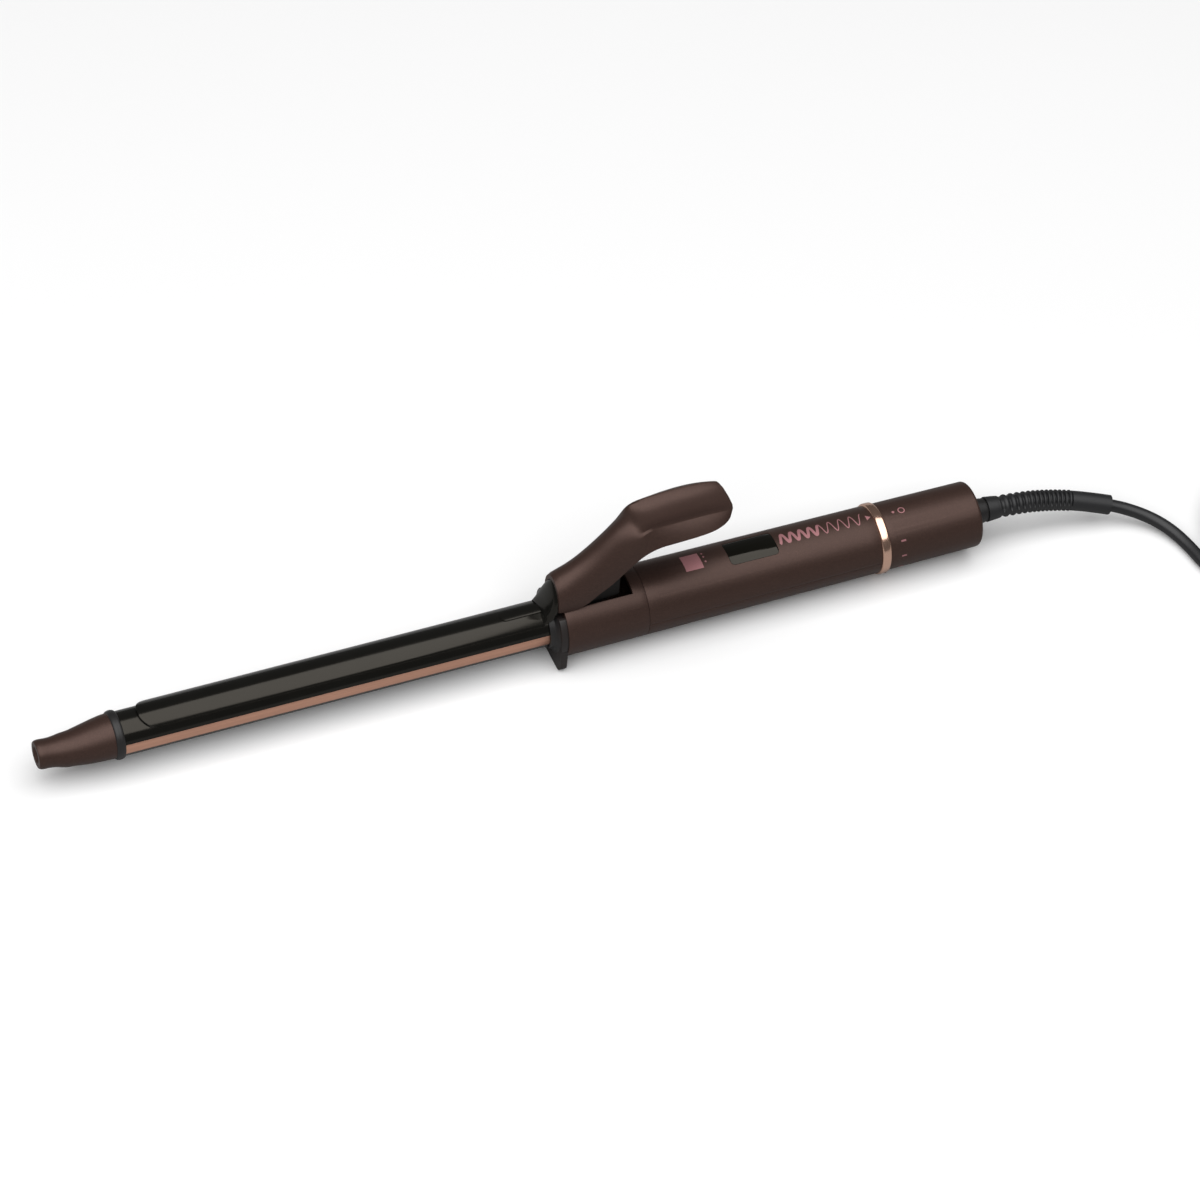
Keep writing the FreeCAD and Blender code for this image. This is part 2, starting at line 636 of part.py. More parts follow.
def board_ribs():
    """Four upright ribs of the lower shell, on which the board lies."""
    ribs = []
    for s in (BOARD_START + 9, BOARD_START + BOARD_LENGTH - 9):
        bore = handle_radius(s) - HANDLE_WALL
        for side in (-1, 1):
            inside = side * (BOARD_HALF_WIDTH - 2.2)
            low, high = sorted((inside, side * (bore - 1.6)))
            stem = box(s - 0.8, s + 0.8, low, high, -3, BOARD_HEIGHT - 0.02)
            low, high = sorted((inside, side * (bore + 1.0)))
            foot = box(s - 0.8, s + 0.8, low, high, -bore, -2)
            ribs.append(stem.fuse(foot.common(rod(s - 1, s + 1, bore + 0.8))).removeSplitter())
    return ribs


def handle_shell(upper):
    """Half of the handle. The seam runs along both sides at axis height."""
    outer = cone(HOUSING_REAR, HANDLE_REAR, HANDLE_R, HANDLE_REAR_R)
    inner = cone(HOUSING_REAR, HANDLE_REAR, HANDLE_BORE_R, HANDLE_REAR_R - HANDLE_WALL)
    shell = outer.cut(inner)
    half = SHELL_GAP / 2
    if upper:
        shell = shell.common(box(-FAR, FAR, -FAR, FAR, half, FAR))
        bosses = [post(s, half + 1.0, handle_radius(s) - 1, BOSS_R) for s in SHELL_SCREWS]
        shell = joined(shell, *bosses)
        for s in SHELL_SCREWS:
            shell = shell.cut(post(s, 0, 9, 1.15))
        return shell.cut(window_plan(0.0))
    shell = shell.common(box(-FAR, FAR, -FAR, FAR, -FAR, -half))
    bosses = [post(s, -handle_radius(s) + 1, half, BOSS_R) for s in SHELL_SCREWS]
    shell = joined(shell, *bosses)
    for s in SHELL_SCREWS:
        shell = shell.cut(post(s, -20, 2, 1.45))
        shell = shell.cut(post(s, -20, -handle_radius(s) + 3.2, 2.7))
    return joined(shell, *board_ribs())


def shell_screws():
    screws = []
    for s in SHELL_SCREWS:
        seat = -handle_radius(s) + 3.2
        head = post(s, seat - 1.8, seat, 2.5)
        cross = joined(
            box(s - 1.4, s + 1.4, -0.3, 0.3, seat - 2, seat - 1),
            box(s - 0.3, s + 0.3, -1.4, 1.4, seat - 2, seat - 1),
        )
        screws.append(joined(head, post(s, seat - 0.1, 7.5, 1.1)).cut(cross))
    return screws


def window_plan(inset):
    """Upright prism with the window's rounded outline."""
    x0 = WINDOW_START + inset
    x1 = WINDOW_START + WINDOW_LENGTH - inset
    half = WINDOW_HALF_WIDTH - inset
    block = box(x0, x1, -half, half, 8, 20)
    corners = [e for e in block.Edges if e.BoundBox.ZLength > 5]
    return block.makeFillet(WINDOW_CORNER_R - inset, corners)


def display_window():
    """Smoked lens, nearly flush with the handle."""
    x0 = WINDOW_START - 1
    x1 = WINDOW_START + WINDOW_LENGTH + 1
    outer = cone(x0, x1, handle_radius(x0) - WINDOW_SUNK, handle_radius(x1) - WINDOW_SUNK)
    lens = outer.cut(rod(x0 - 1, x1 + 1, handle_radius(x0) - WINDOW_SUNK - WINDOW_THICK))
    return lens.common(window_plan(WINDOW_FIT))


def display_module():
    start = WINDOW_START + 1.5
    end = WINDOW_START + WINDOW_LENGTH - 1.5
    low = BOARD_HEIGHT + BOARD_THICK
    return joined(
        box(start, end, -4.6, 4.6, low + 3.6, 11.0),
        box(start + 1, start + 3, -4.0, 4.0, low, low + 3.6),
        box(end - 3, end - 1, -4.0, 4.0, low, low + 3.6),
    )


def control_board():
    return box(
        BOARD_START,
        BOARD_START + BOARD_LENGTH,
        -BOARD_HALF_WIDTH,
        BOARD_HALF_WIDTH,
        BOARD_HEIGHT,
        BOARD_HEIGHT + BOARD_THICK,
    )


def board_parts():
    """Capacitor, switching device with its tab, driver chip, choke and terminals under the board."""
    low = BOARD_HEIGHT
    return [
        rod(72, 86, 4.2, 4.4, low - 4.25),
        box(92, 102, -8.0, 2.0, low - 4.4, low),
        box(106, 114, -3.0, 3.0, low - 1.6, low),
        post(122, low - 7.0, low, 4.5, -3.5),
        box(TERMINAL_FRONT, TERMINAL_FRONT + 5, -6.8, 6.2, low - 10.0, low),
        box(128, 133, 1.5, 9.5, low - 5.0, low),
    ]


def trim_ring():
    """Polished ring between the handle and the dial."""
    outer = HANDLE_REAR_R + TRIM_PROUD
    lip = HANDLE_REAR_R - HANDLE_WALL - JOINT_CLEARANCE
    return turned([
        (HANDLE_REAR - 1.0, TRIM_BORE_R),
        (HANDLE_REAR - 1.0, lip),
        (HANDLE_REAR, lip),
        (HANDLE_REAR, outer - 0.3),
        (HANDLE_REAR + 0.3, outer),
        (TRIM_REAR - 0.3, outer),
        (TRIM_REAR, outer - 0.3),
        (TRIM_REAR, TRIM_BORE_R),
    ])


def spindle():
    """Fixed rear spindle: its flange is caught in the handle, and the dial turns on its tube."""
    flange = rod(HANDLE_REAR - 4.4, HANDLE_REAR - 1.2, HANDLE_REAR_R - HANDLE_WALL - JOINT_CLEARANCE)
    body = joined(flange, rod(HANDLE_REAR - 4.4, SPINDLE_END, SPINDLE_R))
    body = body.cut(rod(HANDLE_REAR - 10, SPINDLE_END + 1, SPINDLE_BORE_R))
    for s in brush_stations():
        body = body.cut(post(s, -SPINDLE_R - 1, 0, 0.9))
    return body


def brush_stations():
    return (SPINDLE_END - 4.0, SPINDLE_END - 8.5)


def dial_washer():
    """Spring washer pressed on the spindle that keeps the dial on."""
    at = DIAL_FRONT + 31.0
    return tube(at, at + 0.8, 9.0, SPINDLE_R)


def encoder_body():
    """Ring-shaped rotary switch fixed round the spindle."""
    return tube(HANDLE_REAR - 1.1, HANDLE_REAR + 2.2, 11.6, SPINDLE_R + 0.05)


def temperature_dial():
    """Rear sleeve of the handle. It turns on the spindle and sets the heat."""
    outer = cone(DIAL_FRONT, DIAL_REAR, DIAL_FRONT_R, DIAL_REAR_R)
    rim = max(outer.Edges, key=lambda e: (round(e.BoundBox.XMin, 3), e.BoundBox.YLength))
    outer = outer.makeFillet(DIAL_EDGE_R, [rim])
    wall = DIAL_WALL
    webs = [(DIAL_FRONT + 2.2, DIAL_FRONT + 4.2), (DIAL_FRONT + 28.6, DIAL_FRONT + 30.6)]
    hollows = [
        rod(DIAL_FRONT - 1, webs[0][0], DIAL_FRONT_R - wall),
        cone(webs[0][1], webs[1][0], DIAL_FRONT_R - wall - 0.1, DIAL_FRONT_R - wall - 0.4),
        cone(webs[1][1], DIAL_REAR - 2.4, DIAL_FRONT_R - wall - 0.4, DIAL_REAR_R - wall - 0.1),
    ]
    for hollow in hollows:
        outer = outer.cut(hollow)
    outer = outer.cut(rod(DIAL_FRONT - 1, DIAL_FRONT + 32, SPINDLE_R + RUNNING_CLEARANCE))
    return outer.cut(rod(DIAL_FRONT + 32, DIAL_REAR + 1, SWIVEL_FRONT_R + 0.3))


def dial_rotor():
    """Notched contact ring on the dial's front web: its notches give the dial its clicks."""
    ring = tube(DIAL_FRONT + 0.9, DIAL_FRONT + 2.2, 11.4, SPINDLE_R + RUNNING_CLEARANCE + 0.3)
    for i in range(12):
        angle = math.radians(30 * i)
        notch = rod(DIAL_FRONT, DIAL_FRONT + 3, 0.7, 11.4 * math.sin(angle), 11.4 * math.cos(angle))
        ring = ring.cut(notch)
    return ring


def swivel_collar():
    """Turning cord outlet: a tapered collar with a stem inside the spindle."""
    shoulder = SPINDLE_END + 0.6
    stem = rod(shoulder - STEM_LENGTH, shoulder + 1, STEM_R)
    shank = rod(shoulder, DIAL_REAR, SWIVEL_FRONT_R)
    taper = cone(DIAL_REAR, SWIVEL_REAR, SWIVEL_FRONT_R, SWIVEL_REAR_R)
    guide = rod(shoulder - 1.5, shoulder + 1, SPINDLE_BORE_R - RUNNING_CLEARANCE)
    flange = rod(shoulder, shoulder + 1.6, SWIVEL_FRONT_R + 2.2)
    body = joined(stem, shank, taper, guide, flange)
    return body.cut(rod(shoulder - STEM_LENGTH - 1, SWIVEL_REAR - 2, 1.8))


def contact_rings():
    """Two brass slip rings on the swivel's stem."""
    return [tube(s - 0.9, s + 0.9, STEM_R + 0.9, STEM_R) for s in brush_stations()]


def contact_brushes():
    """Two sprung contacts that carry the mains from the slip rings to the leads."""
    top = -(STEM_R + 0.9) - 0.06
    return [post(s, -SPINDLE_R - 0.02, top, 0.85) for s in brush_stations()]


# ---- cord ----------------------------------------------------------------------------------------
def rounded_path(points):
    """Straight runs joined by tangent arcs, as a wire, with the radius of each arc."""
    points = [V(*p) for p in points]
    runs = [b.sub(a) for a, b in zip(points, points[1:])]
    edges, radii, at = [], [], points[0]
    for corner, before, after in zip(points[1:], runs, runs[1:]):
        turn = before.getAngle(after)
        reach = 0.45 * min(before.Length, after.Length)
        radii.append(reach / math.tan(turn / 2))
        back = V(before).normalize()
        ahead = V(after).normalize()
        first = corner.sub(back * reach)
        last = corner.add(ahead * reach)
        inward = ahead.sub(back).normalize()
        middle = corner.add(inward * (radii[-1] / math.cos(turn / 2) - radii[-1]))
        edges.append(Part.LineSegment(at, first).toShape())
        edges.append(Part.Arc(first, middle, last).toShape())
        at = last
    edges.append(Part.LineSegment(at, points[-1]).toShape())
    return Part.Wire(edges), radii


def cord_tube(label, points):
    path, radii = rounded_path(points)
    start = V(*points[0])
    along = V(*points[1]).sub(start)
    section = Part.Wire(Part.makeCircle(CORD_D / 2, start, along))
    solid = path.makePipeShell([section], True, True)
    ideal = math.pi * CORD_D**2 / 4 * path.Length
    print(label, "length", round(path.Length, 1), "volume", round(solid.Volume / ideal, 4))
    print("  radii", [round(r, 1) for r in radii], "floor", round(solid.BoundBox.ZMin - FLOOR, 2))
    return solid


COIL_BASE = FLOOR + TIE_THICK
COIL_HALF = COIL_TURNS_WIDE * CORD_D / 2
LEAD_HEIGHT = FLOOR + CORD_D / 2 + 0.05
COIL_LOW = COIL_BASE + CORD_D / 2
COIL_TOP = COIL_LOW + (COIL_TURNS_WIDE - 1) * CORD_D
COIL_OUTER_TURN = COIL_MEAN_R + CORD_D
PLUG_AXIS_HEIGHT = FLOOR + PLUG_THICK / 2

# Hand-chosen route from the strain relief's end to the coil, and from the coil to the plug.
RELIEF_ROUTE = [
    (SWIVEL_REAR + 0.1, 0.0, 0.0),
    (SWIVEL_REAR + 15.5, -0.5, -0.4),
    (SWIVEL_REAR + 30.0, -2.3, -1.9),
    (SWIVEL_REAR + 44.0, -5.2, -4.3),
    (SWIVEL_REAR + 56.0, -9.0, -7.2),
]
LEAD_ROUTE = [
    (SWIVEL_REAR + 56.0, -9.0, -7.2),
    (SWIVEL_REAR + 64.0, -12.4, -9.3),
    (SWIVEL_REAR + 72.1, -18.0, -11.5),
    (SWIVEL_REAR + 78.3, -25.7, -13.2),
    (SWIVEL_REAR + 82.3, -36.0, LEAD_HEIGHT),
    (SWIVEL_REAR + 84.3, -49.0, LEAD_HEIGHT),
    (SWIVEL_REAR + 89.8, -60.8, LEAD_HEIGHT),
    (SWIVEL_REAR + 99.0, -70.0, LEAD_HEIGHT + 0.3),
    (SWIVEL_REAR + 109.7, -75.4, COIL_LOW),
    (
        COIL_CENTRE[0] + COIL_OUTER_TURN * math.cos(math.radians(COIL_JOIN_ANGLE)),
        COIL_CENTRE[1] + COIL_OUTER_TURN * math.sin(math.radians(COIL_JOIN_ANGLE)),
        COIL_LOW,
    ),
]
TAIL_ROUTE = [
    (COIL_CENTRE[0], COIL_CENTRE[1] - COIL_OUTER_TURN, COIL_TOP),
    (COIL_CENTRE[0] + 12.5, COIL_CENTRE[1] - COIL_OUTER_TURN - 0.6, COIL_TOP - 0.5),
    (COIL_CENTRE[0] + 26.0, COIL_CENTRE[1] - COIL_OUTER_TURN + 0.6, COIL_TOP - 3.2),
    (COIL_CENTRE[0] + 38.5, COIL_CENTRE[1] - COIL_OUTER_TURN + 3.6, PLUG_AXIS_HEIGHT + 1.6),
    (COIL_CENTRE[0] + 49.5, COIL_CENTRE[1] - COIL_OUTER_TURN + 7.0, PLUG_AXIS_HEIGHT),
]


def strain_relief():
    """Tapered bend guard, drooping under the lead's weight."""
    points = [V(*p) for p in RELIEF_ROUTE]
    spine = Part.BSplineCurve()
    spine.interpolate(points, InitialTangent=V(15, 0, 0), FinalTangent=V(*LEAD_ROUTE[1]).sub(points[-1]))
    circles = []
    count = 9
    for i in range(count):
        u = spine.FirstParameter + (spine.LastParameter - spine.FirstParameter) * i / (count - 1)
        r = SWIVEL_REAR_R - 0.15 + (RELIEF_REAR_R - SWIVEL_REAR_R + 0.15) * i / (count - 1)
        circles.append(Part.Wire(Part.makeCircle(r, spine.value(u), spine.tangent(u)[0])))
    return Part.makeLoft(circles, True, False)


def coil_ring(spare):
    """The coil's outer form about the origin, grown by a little on its sides and top."""
    inner = COIL_MEAN_R - COIL_HALF - spare
    outer = COIL_MEAN_R + COIL_HALF + spare
    height = COIL_TURNS_WIDE * CORD_D + spare
    disc = Part.makeCylinder(outer, height, V(0, 0, COIL_BASE), V(0, 0, 1))
    return disc.cut(Part.makeCylinder(inner, 60, V(0, 0, COIL_BASE - 5), V(0, 0, 1)))


def cord_coil():
    """Outer shape of the neat coil in which the rest of the lead is put away."""
    coil = coil_ring(0.0)
    coil.translate(V(COIL_CENTRE[0], COIL_CENTRE[1], 0))
    return coil


def cord_tie():
    """Band round the coil's turns."""
    angle = 50.0
    half = COIL_HALF + 0.15
    low = FLOOR
    high = COIL_BASE + COIL_TURNS_WIDE * CORD_D + 0.15
    r = COIL_MEAN_R
    band = box(r - half - TIE_THICK, r + half + TIE_THICK, -TIE_WIDTH / 2, TIE_WIDTH / 2, low, high + TIE_THICK)
    hollow = box(r - half, r + half, -TIE_WIDTH, TIE_WIDTH, COIL_BASE, high)
    tie = band.cut(hollow).cut(coil_ring(0.15))
    tie.rotate(V(0, 0, 0), V(0, 0, 1), angle)
    tie.translate(V(COIL_CENTRE[0], COIL_CENTRE[1], 0))
    return tie


def plug_placed(shape):
    """Moves a piece of the plug from its own frame (+X out of the lead) to the lead's end."""
    end = V(*TAIL_ROUTE[-1])
    heading = end.sub(V(*TAIL_ROUTE[-2]))
    shape.rotate(V(0, 0, 0), V(0, 0, 1), math.degrees(math.atan2(heading.y, heading.x)))
    shape.translate(end)
    return shape


def plug_body():
    half_t = PLUG_THICK / 2
    outline = [
        (0, 4.5),
        (9.0, 5.2),
        (16.0, PLUG_WIDTH / 2 - 1.5),
        (20.0, PLUG_WIDTH / 2),
        (PLUG_LENGTH, PLUG_WIDTH / 2),
    ]
    corners = [V(x, y, -half_t) for x, y in outline] + [V(x, -y, -half_t) for x, y in reversed(outline)]
    block = Part.Face(Part.makePolygon(corners + corners[:1])).extrude(V(0, 0, PLUG_THICK))
    rims = [e for e in block.Edges if e.BoundBox.ZLength < 1e-6]
    return plug_placed(block.makeChamfer(1.6, rims))


def plug_pins():
    pins = []
    for y in (-PLUG_PIN_SPACING / 2, PLUG_PIN_SPACING / 2):
        rod_part = Part.makeCylinder(PLUG_PIN_R, PLUG_PIN_LENGTH, V(PLUG_LENGTH, y, 0), V(1, 0, 0))
        tip = max(rod_part.Edges, key=lambda e: e.BoundBox.XMin)
        pins.append(plug_placed(rod_part.makeChamfer(0.8, [tip])))
    return pins


def mains_leads():
    """Two leads inside the handle, from the brushes' end of the spindle to the board's terminals."""
    leads = []
    for y in (4.0, 7.0):
        leads.append(rod(BOARD_START + BOARD_LENGTH - 0.8, HANDLE_REAR - 4.5, WIRE_R, y, BOARD_HEIGHT - 2.5))
    return leads


# ---- the nodes -------------------------------------------------------------------------------------
def build():
    keep("tip_cap", tip_cap())
    keep("tip_screw", tip_screw())
    keep("tip_collar", tip_collar())
    keep("barrel_tube", barrel_tube())
    keep("barrel_strips", *barrel_strips())
    keep("heater_core_upper", heater_core(True))
    keep("heater_core_lower", heater_core(False))
    keep("ptc_heater", ptc_heater())
    keep("barrel_plug", barrel_plug())
    keep("heater_wires", *heater_wires())
    keep("thermistor", thermistor())
    keep("thermal_fuse", thermal_fuse())
    keep("front_collar", front_collar())
    keep("stand_foot", stand_foot())
    keep("front_housing", front_housing())
    keep("pivot_pin", pivot_pin())
    keep("clamp_spring", clamp_spring())
    keep("clamp_plate", clamp_plate())
    keep("clamp_neck", clamp_neck())
    keep("clamp_bracket", clamp_bracket())
    keep("thumb_lever", thumb_lever())
    keep("lever_screws", *lever_screws())
    keep("handle_shell_upper", handle_shell(True))
    keep("handle_shell_lower", handle_shell(False))
    keep("shell_screws", *shell_screws())
    keep("display_window", display_window())
    keep("display_module", display_module())
    keep("control_board", control_board())
    keep("board_parts", *board_parts())
    keep("mains_leads", *mains_leads())
    keep("trim_ring", trim_ring())
    keep("spindle", spindle())
    keep("encoder_body", encoder_body())
    keep("dial_washer", dial_washer())
    keep("temperature_dial", temperature_dial())
    keep("dial_rotor", dial_rotor())
    keep("swivel_collar", swivel_collar())
    keep("contact_rings", *contact_rings())
    keep("contact_brushes", *contact_brushes())
    keep("strain_relief", strain_relief())
    keep("power_cord", cord_tube("power_cord", LEAD_ROUTE))
    keep("cord_coil", cord_coil())
    keep("cord_tail", cord_tube("cord_tail", TAIL_ROUTE))
    keep("cord_tie", cord_tie())
    keep("plug_body", plug_body())
    keep("plug_pins", *plug_pins())


def save():
    os.makedirs("parts", exist_ok=True)
    for name, shape in NODES.items():
        placed = shape.copy()
        placed.translate(V(-MIDDLE, 0, FOOT_DEPTH))
        placed.exportStep(os.path.join("parts", name + ".step"))
    print("nodes", len(NODES), "middle station", round(MIDDLE, 3))


build()
save()
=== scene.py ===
import math

import bmesh
import bpy
from mathutils import Matrix, Vector


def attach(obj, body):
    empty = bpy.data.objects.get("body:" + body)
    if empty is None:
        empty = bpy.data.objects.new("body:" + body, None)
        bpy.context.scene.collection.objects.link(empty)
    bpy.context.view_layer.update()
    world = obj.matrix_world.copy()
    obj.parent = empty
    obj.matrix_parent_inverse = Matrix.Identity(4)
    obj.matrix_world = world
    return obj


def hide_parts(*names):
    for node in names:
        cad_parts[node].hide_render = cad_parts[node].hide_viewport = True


bl_info = {
    "name": "Curling iron",
    "version": (1, 0, 0),
    "blender": (4, 5, 0),
    "location": "View3D > Sidebar > Curling iron",
    "description": "Models and finishes a curling iron with a sprung clamp on its packed frame",
    "category": "Object",
}

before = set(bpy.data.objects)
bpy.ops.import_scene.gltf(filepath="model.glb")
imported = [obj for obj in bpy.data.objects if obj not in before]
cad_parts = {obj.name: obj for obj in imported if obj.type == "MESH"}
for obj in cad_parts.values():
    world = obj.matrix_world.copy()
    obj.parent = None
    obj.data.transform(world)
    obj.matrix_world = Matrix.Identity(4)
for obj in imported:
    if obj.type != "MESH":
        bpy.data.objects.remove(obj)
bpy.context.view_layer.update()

MM = 0.001
# Stations are counted in millimetres from the black collar's front, heights from the barrel's axis.
STATION_SHIFT = 8.6
AXIS_HEIGHT = 17.2
HANDLE_START, HANDLE_START_R = 42.8, 15.3
HANDLE_END, HANDLE_END_R = 150.6, 14.7
DIAL_START, DIAL_START_R = 153.7, 14.6
DIAL_END, DIAL_END_R = 197.5, 14.3
BARREL_FRONT, BARREL_R = -186.7, 9.5
SMOOTH_LIMIT = math.radians(32)
GUARD_SMOOTH_LIMIT = math.radians(60)
# A frame node's triangles on one flat face differ by less than this.
FLAT_LIMIT = math.radians(0.15)
MERGE_DISTANCE = 2e-6
FULL_TURN = 2 * math.pi


# ---- sizes and colours a user may change ---------------------------------------------------------
def colour_property(name, description, default):
    return bpy.props.FloatVectorProperty(
        name=name, description=description, default=default, subtype="COLOR", size=3, min=0.0, max=1.0
    )


def length_property(name, description, default, low=0.0, high=1.0):
    return bpy.props.FloatProperty(
        name=name,
        description=description,
        default=default,
        min=low,
        max=high,
        subtype="DISTANCE",
        unit="LENGTH",
        precision=4,
    )


class IronSizes(bpy.types.PropertyGroup):
    """Sizes of the pieces that are added to the frame."""

    cord_diameter: length_property("Cord diameter", "Thickness of the mains lead", 0.0055, 0.004, 0.008)
    cord_length: length_property("Cord length", "Whole length of the mains lead", 1.8, 1.0, 3.0)
    edge: length_property("Edge rounding", "Width of the moulded edges' rounding", 0.0003, 0.0001, 0.001)
    print_height: length_property(
        "Print height", "How far the print stands on the shell", 0.00005, 0.00002, 0.0002
    )
    rib_pitch: length_property(
        "Rib pitch", "Distance between the bend guard's ribs", 0.0026, 0.0015, 0.004
    )
    wave_height: length_property("Wave height", "Height of the printed wave", 0.0060, 0.002, 0.008)


class IronColours(bpy.types.PropertyGroup):
    """Colours of the visible finishes."""

    plum: colour_property(
        "Plum shell", "Satin metallic shell of handle, lever and tip", (0.068, 0.038, 0.030)
    )
    black: colour_property("Gloss black", "Coating of barrel and clamp", (0.004, 0.004, 0.0035))
    copper: colour_property("Copper strip", "Brushed strip along the barrel", (0.88, 0.46, 0.33))
    rose: colour_property("Rose gold", "Polished ring", (0.86, 0.55, 0.42))
    pink: colour_property("Pink print", "Printed marks", (0.40, 0.18, 0.19))
    rubber: colour_property("Black rubber", "Bend guard and lead", (0.012, 0.012, 0.013))
    floor: colour_property("Floor", "Plain floor", (0.93, 0.93, 0.93))


# ---- shader maths ---------------------------------------------------------------------------------
class Signal:
    """A shader socket that can be used in Python sums."""

    def __init__(self, tree, socket):
        self.tree = tree
        self.socket = socket

    def _maths(self, operation, first, second):
        node = self.tree.nodes.new("ShaderNodeMath")
        node.operation = operation
        for slot, value in zip(node.inputs, (first, second)):
            if isinstance(value, Signal):
                self.tree.links.new(value.socket, slot)
            else:
                slot.default_value = value
        return Signal(self.tree, node.outputs[0])

    def __add__(self, other):
        return self._maths("ADD", self, other)

    def __radd__(self, other):
        return self._maths("ADD", other, self)

    def __mul__(self, other):
        return self._maths("MULTIPLY", self, other)

    def __rmul__(self, other):
        return self._maths("MULTIPLY", other, self)


class Finish:
    """One procedural material, built round a Principled shader."""

    def __init__(self, name, **constants):
        self.material = bpy.data.materials.new(name)
        self.material.use_nodes = True
        self.tree = self.material.node_tree
        self.shader = self.tree.nodes["Principled BSDF"]
        for socket, value in constants.items():
            self.shader.inputs[socket.replace("_", " ")].default_value = value

    def node(self, kind, settings=None, out=0, **values):
        """Adds a node, sets it up and returns one of its outputs."""
        made = self.tree.nodes.new(kind)
        for name, value in (settings or {}).items():
            setattr(made, name, value)
        for name, value in values.items():
            socket = made.inputs[int(name[1:]) if name[0] == "i" and name[1:].isdigit() else name]
            if isinstance(value, Signal):
                self.tree.links.new(value.socket, socket)
            else:
                socket.default_value = value
        return Signal(self.tree, made.outputs[out])

    def place(self, scale=(1.0, 1.0, 1.0)):
        spot = self.node("ShaderNodeTexCoord", out="Object")
        if scale == (1.0, 1.0, 1.0):
            return spot
        return self.node("ShaderNodeMapping", Vector=spot, Scale=scale)

    def noise(self, where, scale, detail=2.0, rough=0.5):
        return self.node(
            "ShaderNodeTexNoise", out="Fac", Vector=where, Scale=scale, Detail=detail, Roughness=rough
        )

    def steps(self, signal, low, high):
        """Stretches a signal between two levels to 0 and 1."""
        return self.node("ShaderNodeMapRange", Value=signal, **{"From Min": low, "From Max": high})

    def blend(self, share, first, second):
        rgba = {"i6": (*first, 1.0), "i7": (*second, 1.0)}
        return self.node("ShaderNodeMix", {"data_type": "RGBA"}, out=2, Factor=share, **rgba)

    def bump(self, height, strength, distance):
        return self.node("ShaderNodeBump", Height=height, Strength=strength, Distance=distance)

    def feed(self, socket, signal):
        self.tree.links.new(signal.socket, self.shader.inputs[socket])


def shade(colour, factor):
    return tuple(min(1.0, c * factor) for c in colour)


def plum_finish(colours):
    """Satin shell paint with a fine metal fleck."""
    finish = Finish("plum_satin", Metallic=0.55, IOR=1.45)
    where = finish.place()
    fleck = finish.steps(finish.noise(where, 5200.0, 1.0), 0.50, 0.74)
    cloud = finish.noise(where, 45.0, 3.0)
    colour = finish.blend(fleck * 0.8, shade(colours.plum, 0.86), shade(colours.plum, 1.75))
    finish.feed("Base Color", colour)
    finish.feed("Roughness", 0.40 + cloud * 0.06 + fleck * 0.05)
    finish.feed("Normal", finish.bump(finish.noise(where, 3000.0, 2.0), 0.10, 0.00004))
    return finish.material


# The coating and the lens reflect a little warmer than white.
OLIVE_GLARE = (1.0, 0.92, 0.80, 1.0)


def gloss_black_finish(colours):
    """Hard black coating with faint wiping marks."""
    finish = Finish("gloss_black_coating", IOR=1.42, Specular_Tint=OLIVE_GLARE)
    where = finish.place()
    wiped = finish.noise(finish.place((6.0, 90.0, 90.0)), 3.0, 4.0)
    cloud = finish.noise(where, 70.0)
    finish.feed("Base Color", finish.blend(cloud, shade(colours.black, 0.8), shade(colours.black, 1.5)))
    finish.feed("Roughness", 0.13 + wiped * 0.08)
    finish.feed("Normal", finish.bump(finish.noise(where, 140.0, 2.0), 0.03, 0.00005))
    return finish.material


def copper_finish(colours):
    """Copper-coloured strip brushed along the barrel."""
    finish = Finish("brushed_copper", Metallic=1.0)
    grain = finish.noise(finish.place((12.0, 1500.0, 1500.0)), 2.0, 3.0, 0.6)
    cloud = finish.noise(finish.place(), 30.0, 3.0)
    share = grain * 0.7 + cloud * 0.3
    finish.feed("Base Color", finish.blend(share, shade(colours.copper, 0.62), shade(colours.copper, 1.25)))
    finish.feed("Roughness", 0.34 + grain * 0.14)
    finish.feed("Normal", finish.bump(grain, 0.25, 0.00003))
    return finish.material


def polished_finish(name, colour, roughness=0.14):
    """Polished metal with hairline scratches."""
    finish = Finish(name, Metallic=1.0)
    hair = finish.noise(finish.place((900.0, 40.0, 40.0)), 3.0, 3.0)
    finish.feed("Base Color", finish.blend(hair, shade(colour, 0.92), shade(colour, 1.05)))
    finish.feed("Roughness", roughness + hair * 0.08)
    return finish.material


def print_finish(colours):
    """Matt pink ink."""
    finish = Finish("pink_print", Metallic=0.35)
    where = finish.place()
    speck = finish.noise(where, 2600.0, 2.0)
    finish.feed("Base Color", finish.blend(speck, shade(colours.pink, 0.75), shade(colours.pink, 1.25)))
    finish.feed("Roughness", 0.42 + speck * 0.15)
    return finish.material


def rubber_finish(name, colour, roughness):
    """Moulded black rubber or vinyl."""
    finish = Finish(name, IOR=1.5)
    where = finish.place()
    grain = finish.noise(where, 1800.0, 3.0)
    cloud = finish.noise(where, 60.0, 3.0)
    finish.feed("Base Color", finish.blend(cloud, shade(colour, 0.8), shade(colour, 1.4)))
    finish.feed("Roughness", roughness + grain * 0.14)
    finish.feed("Normal", finish.bump(grain, 0.12, 0.00006))
    return finish.material


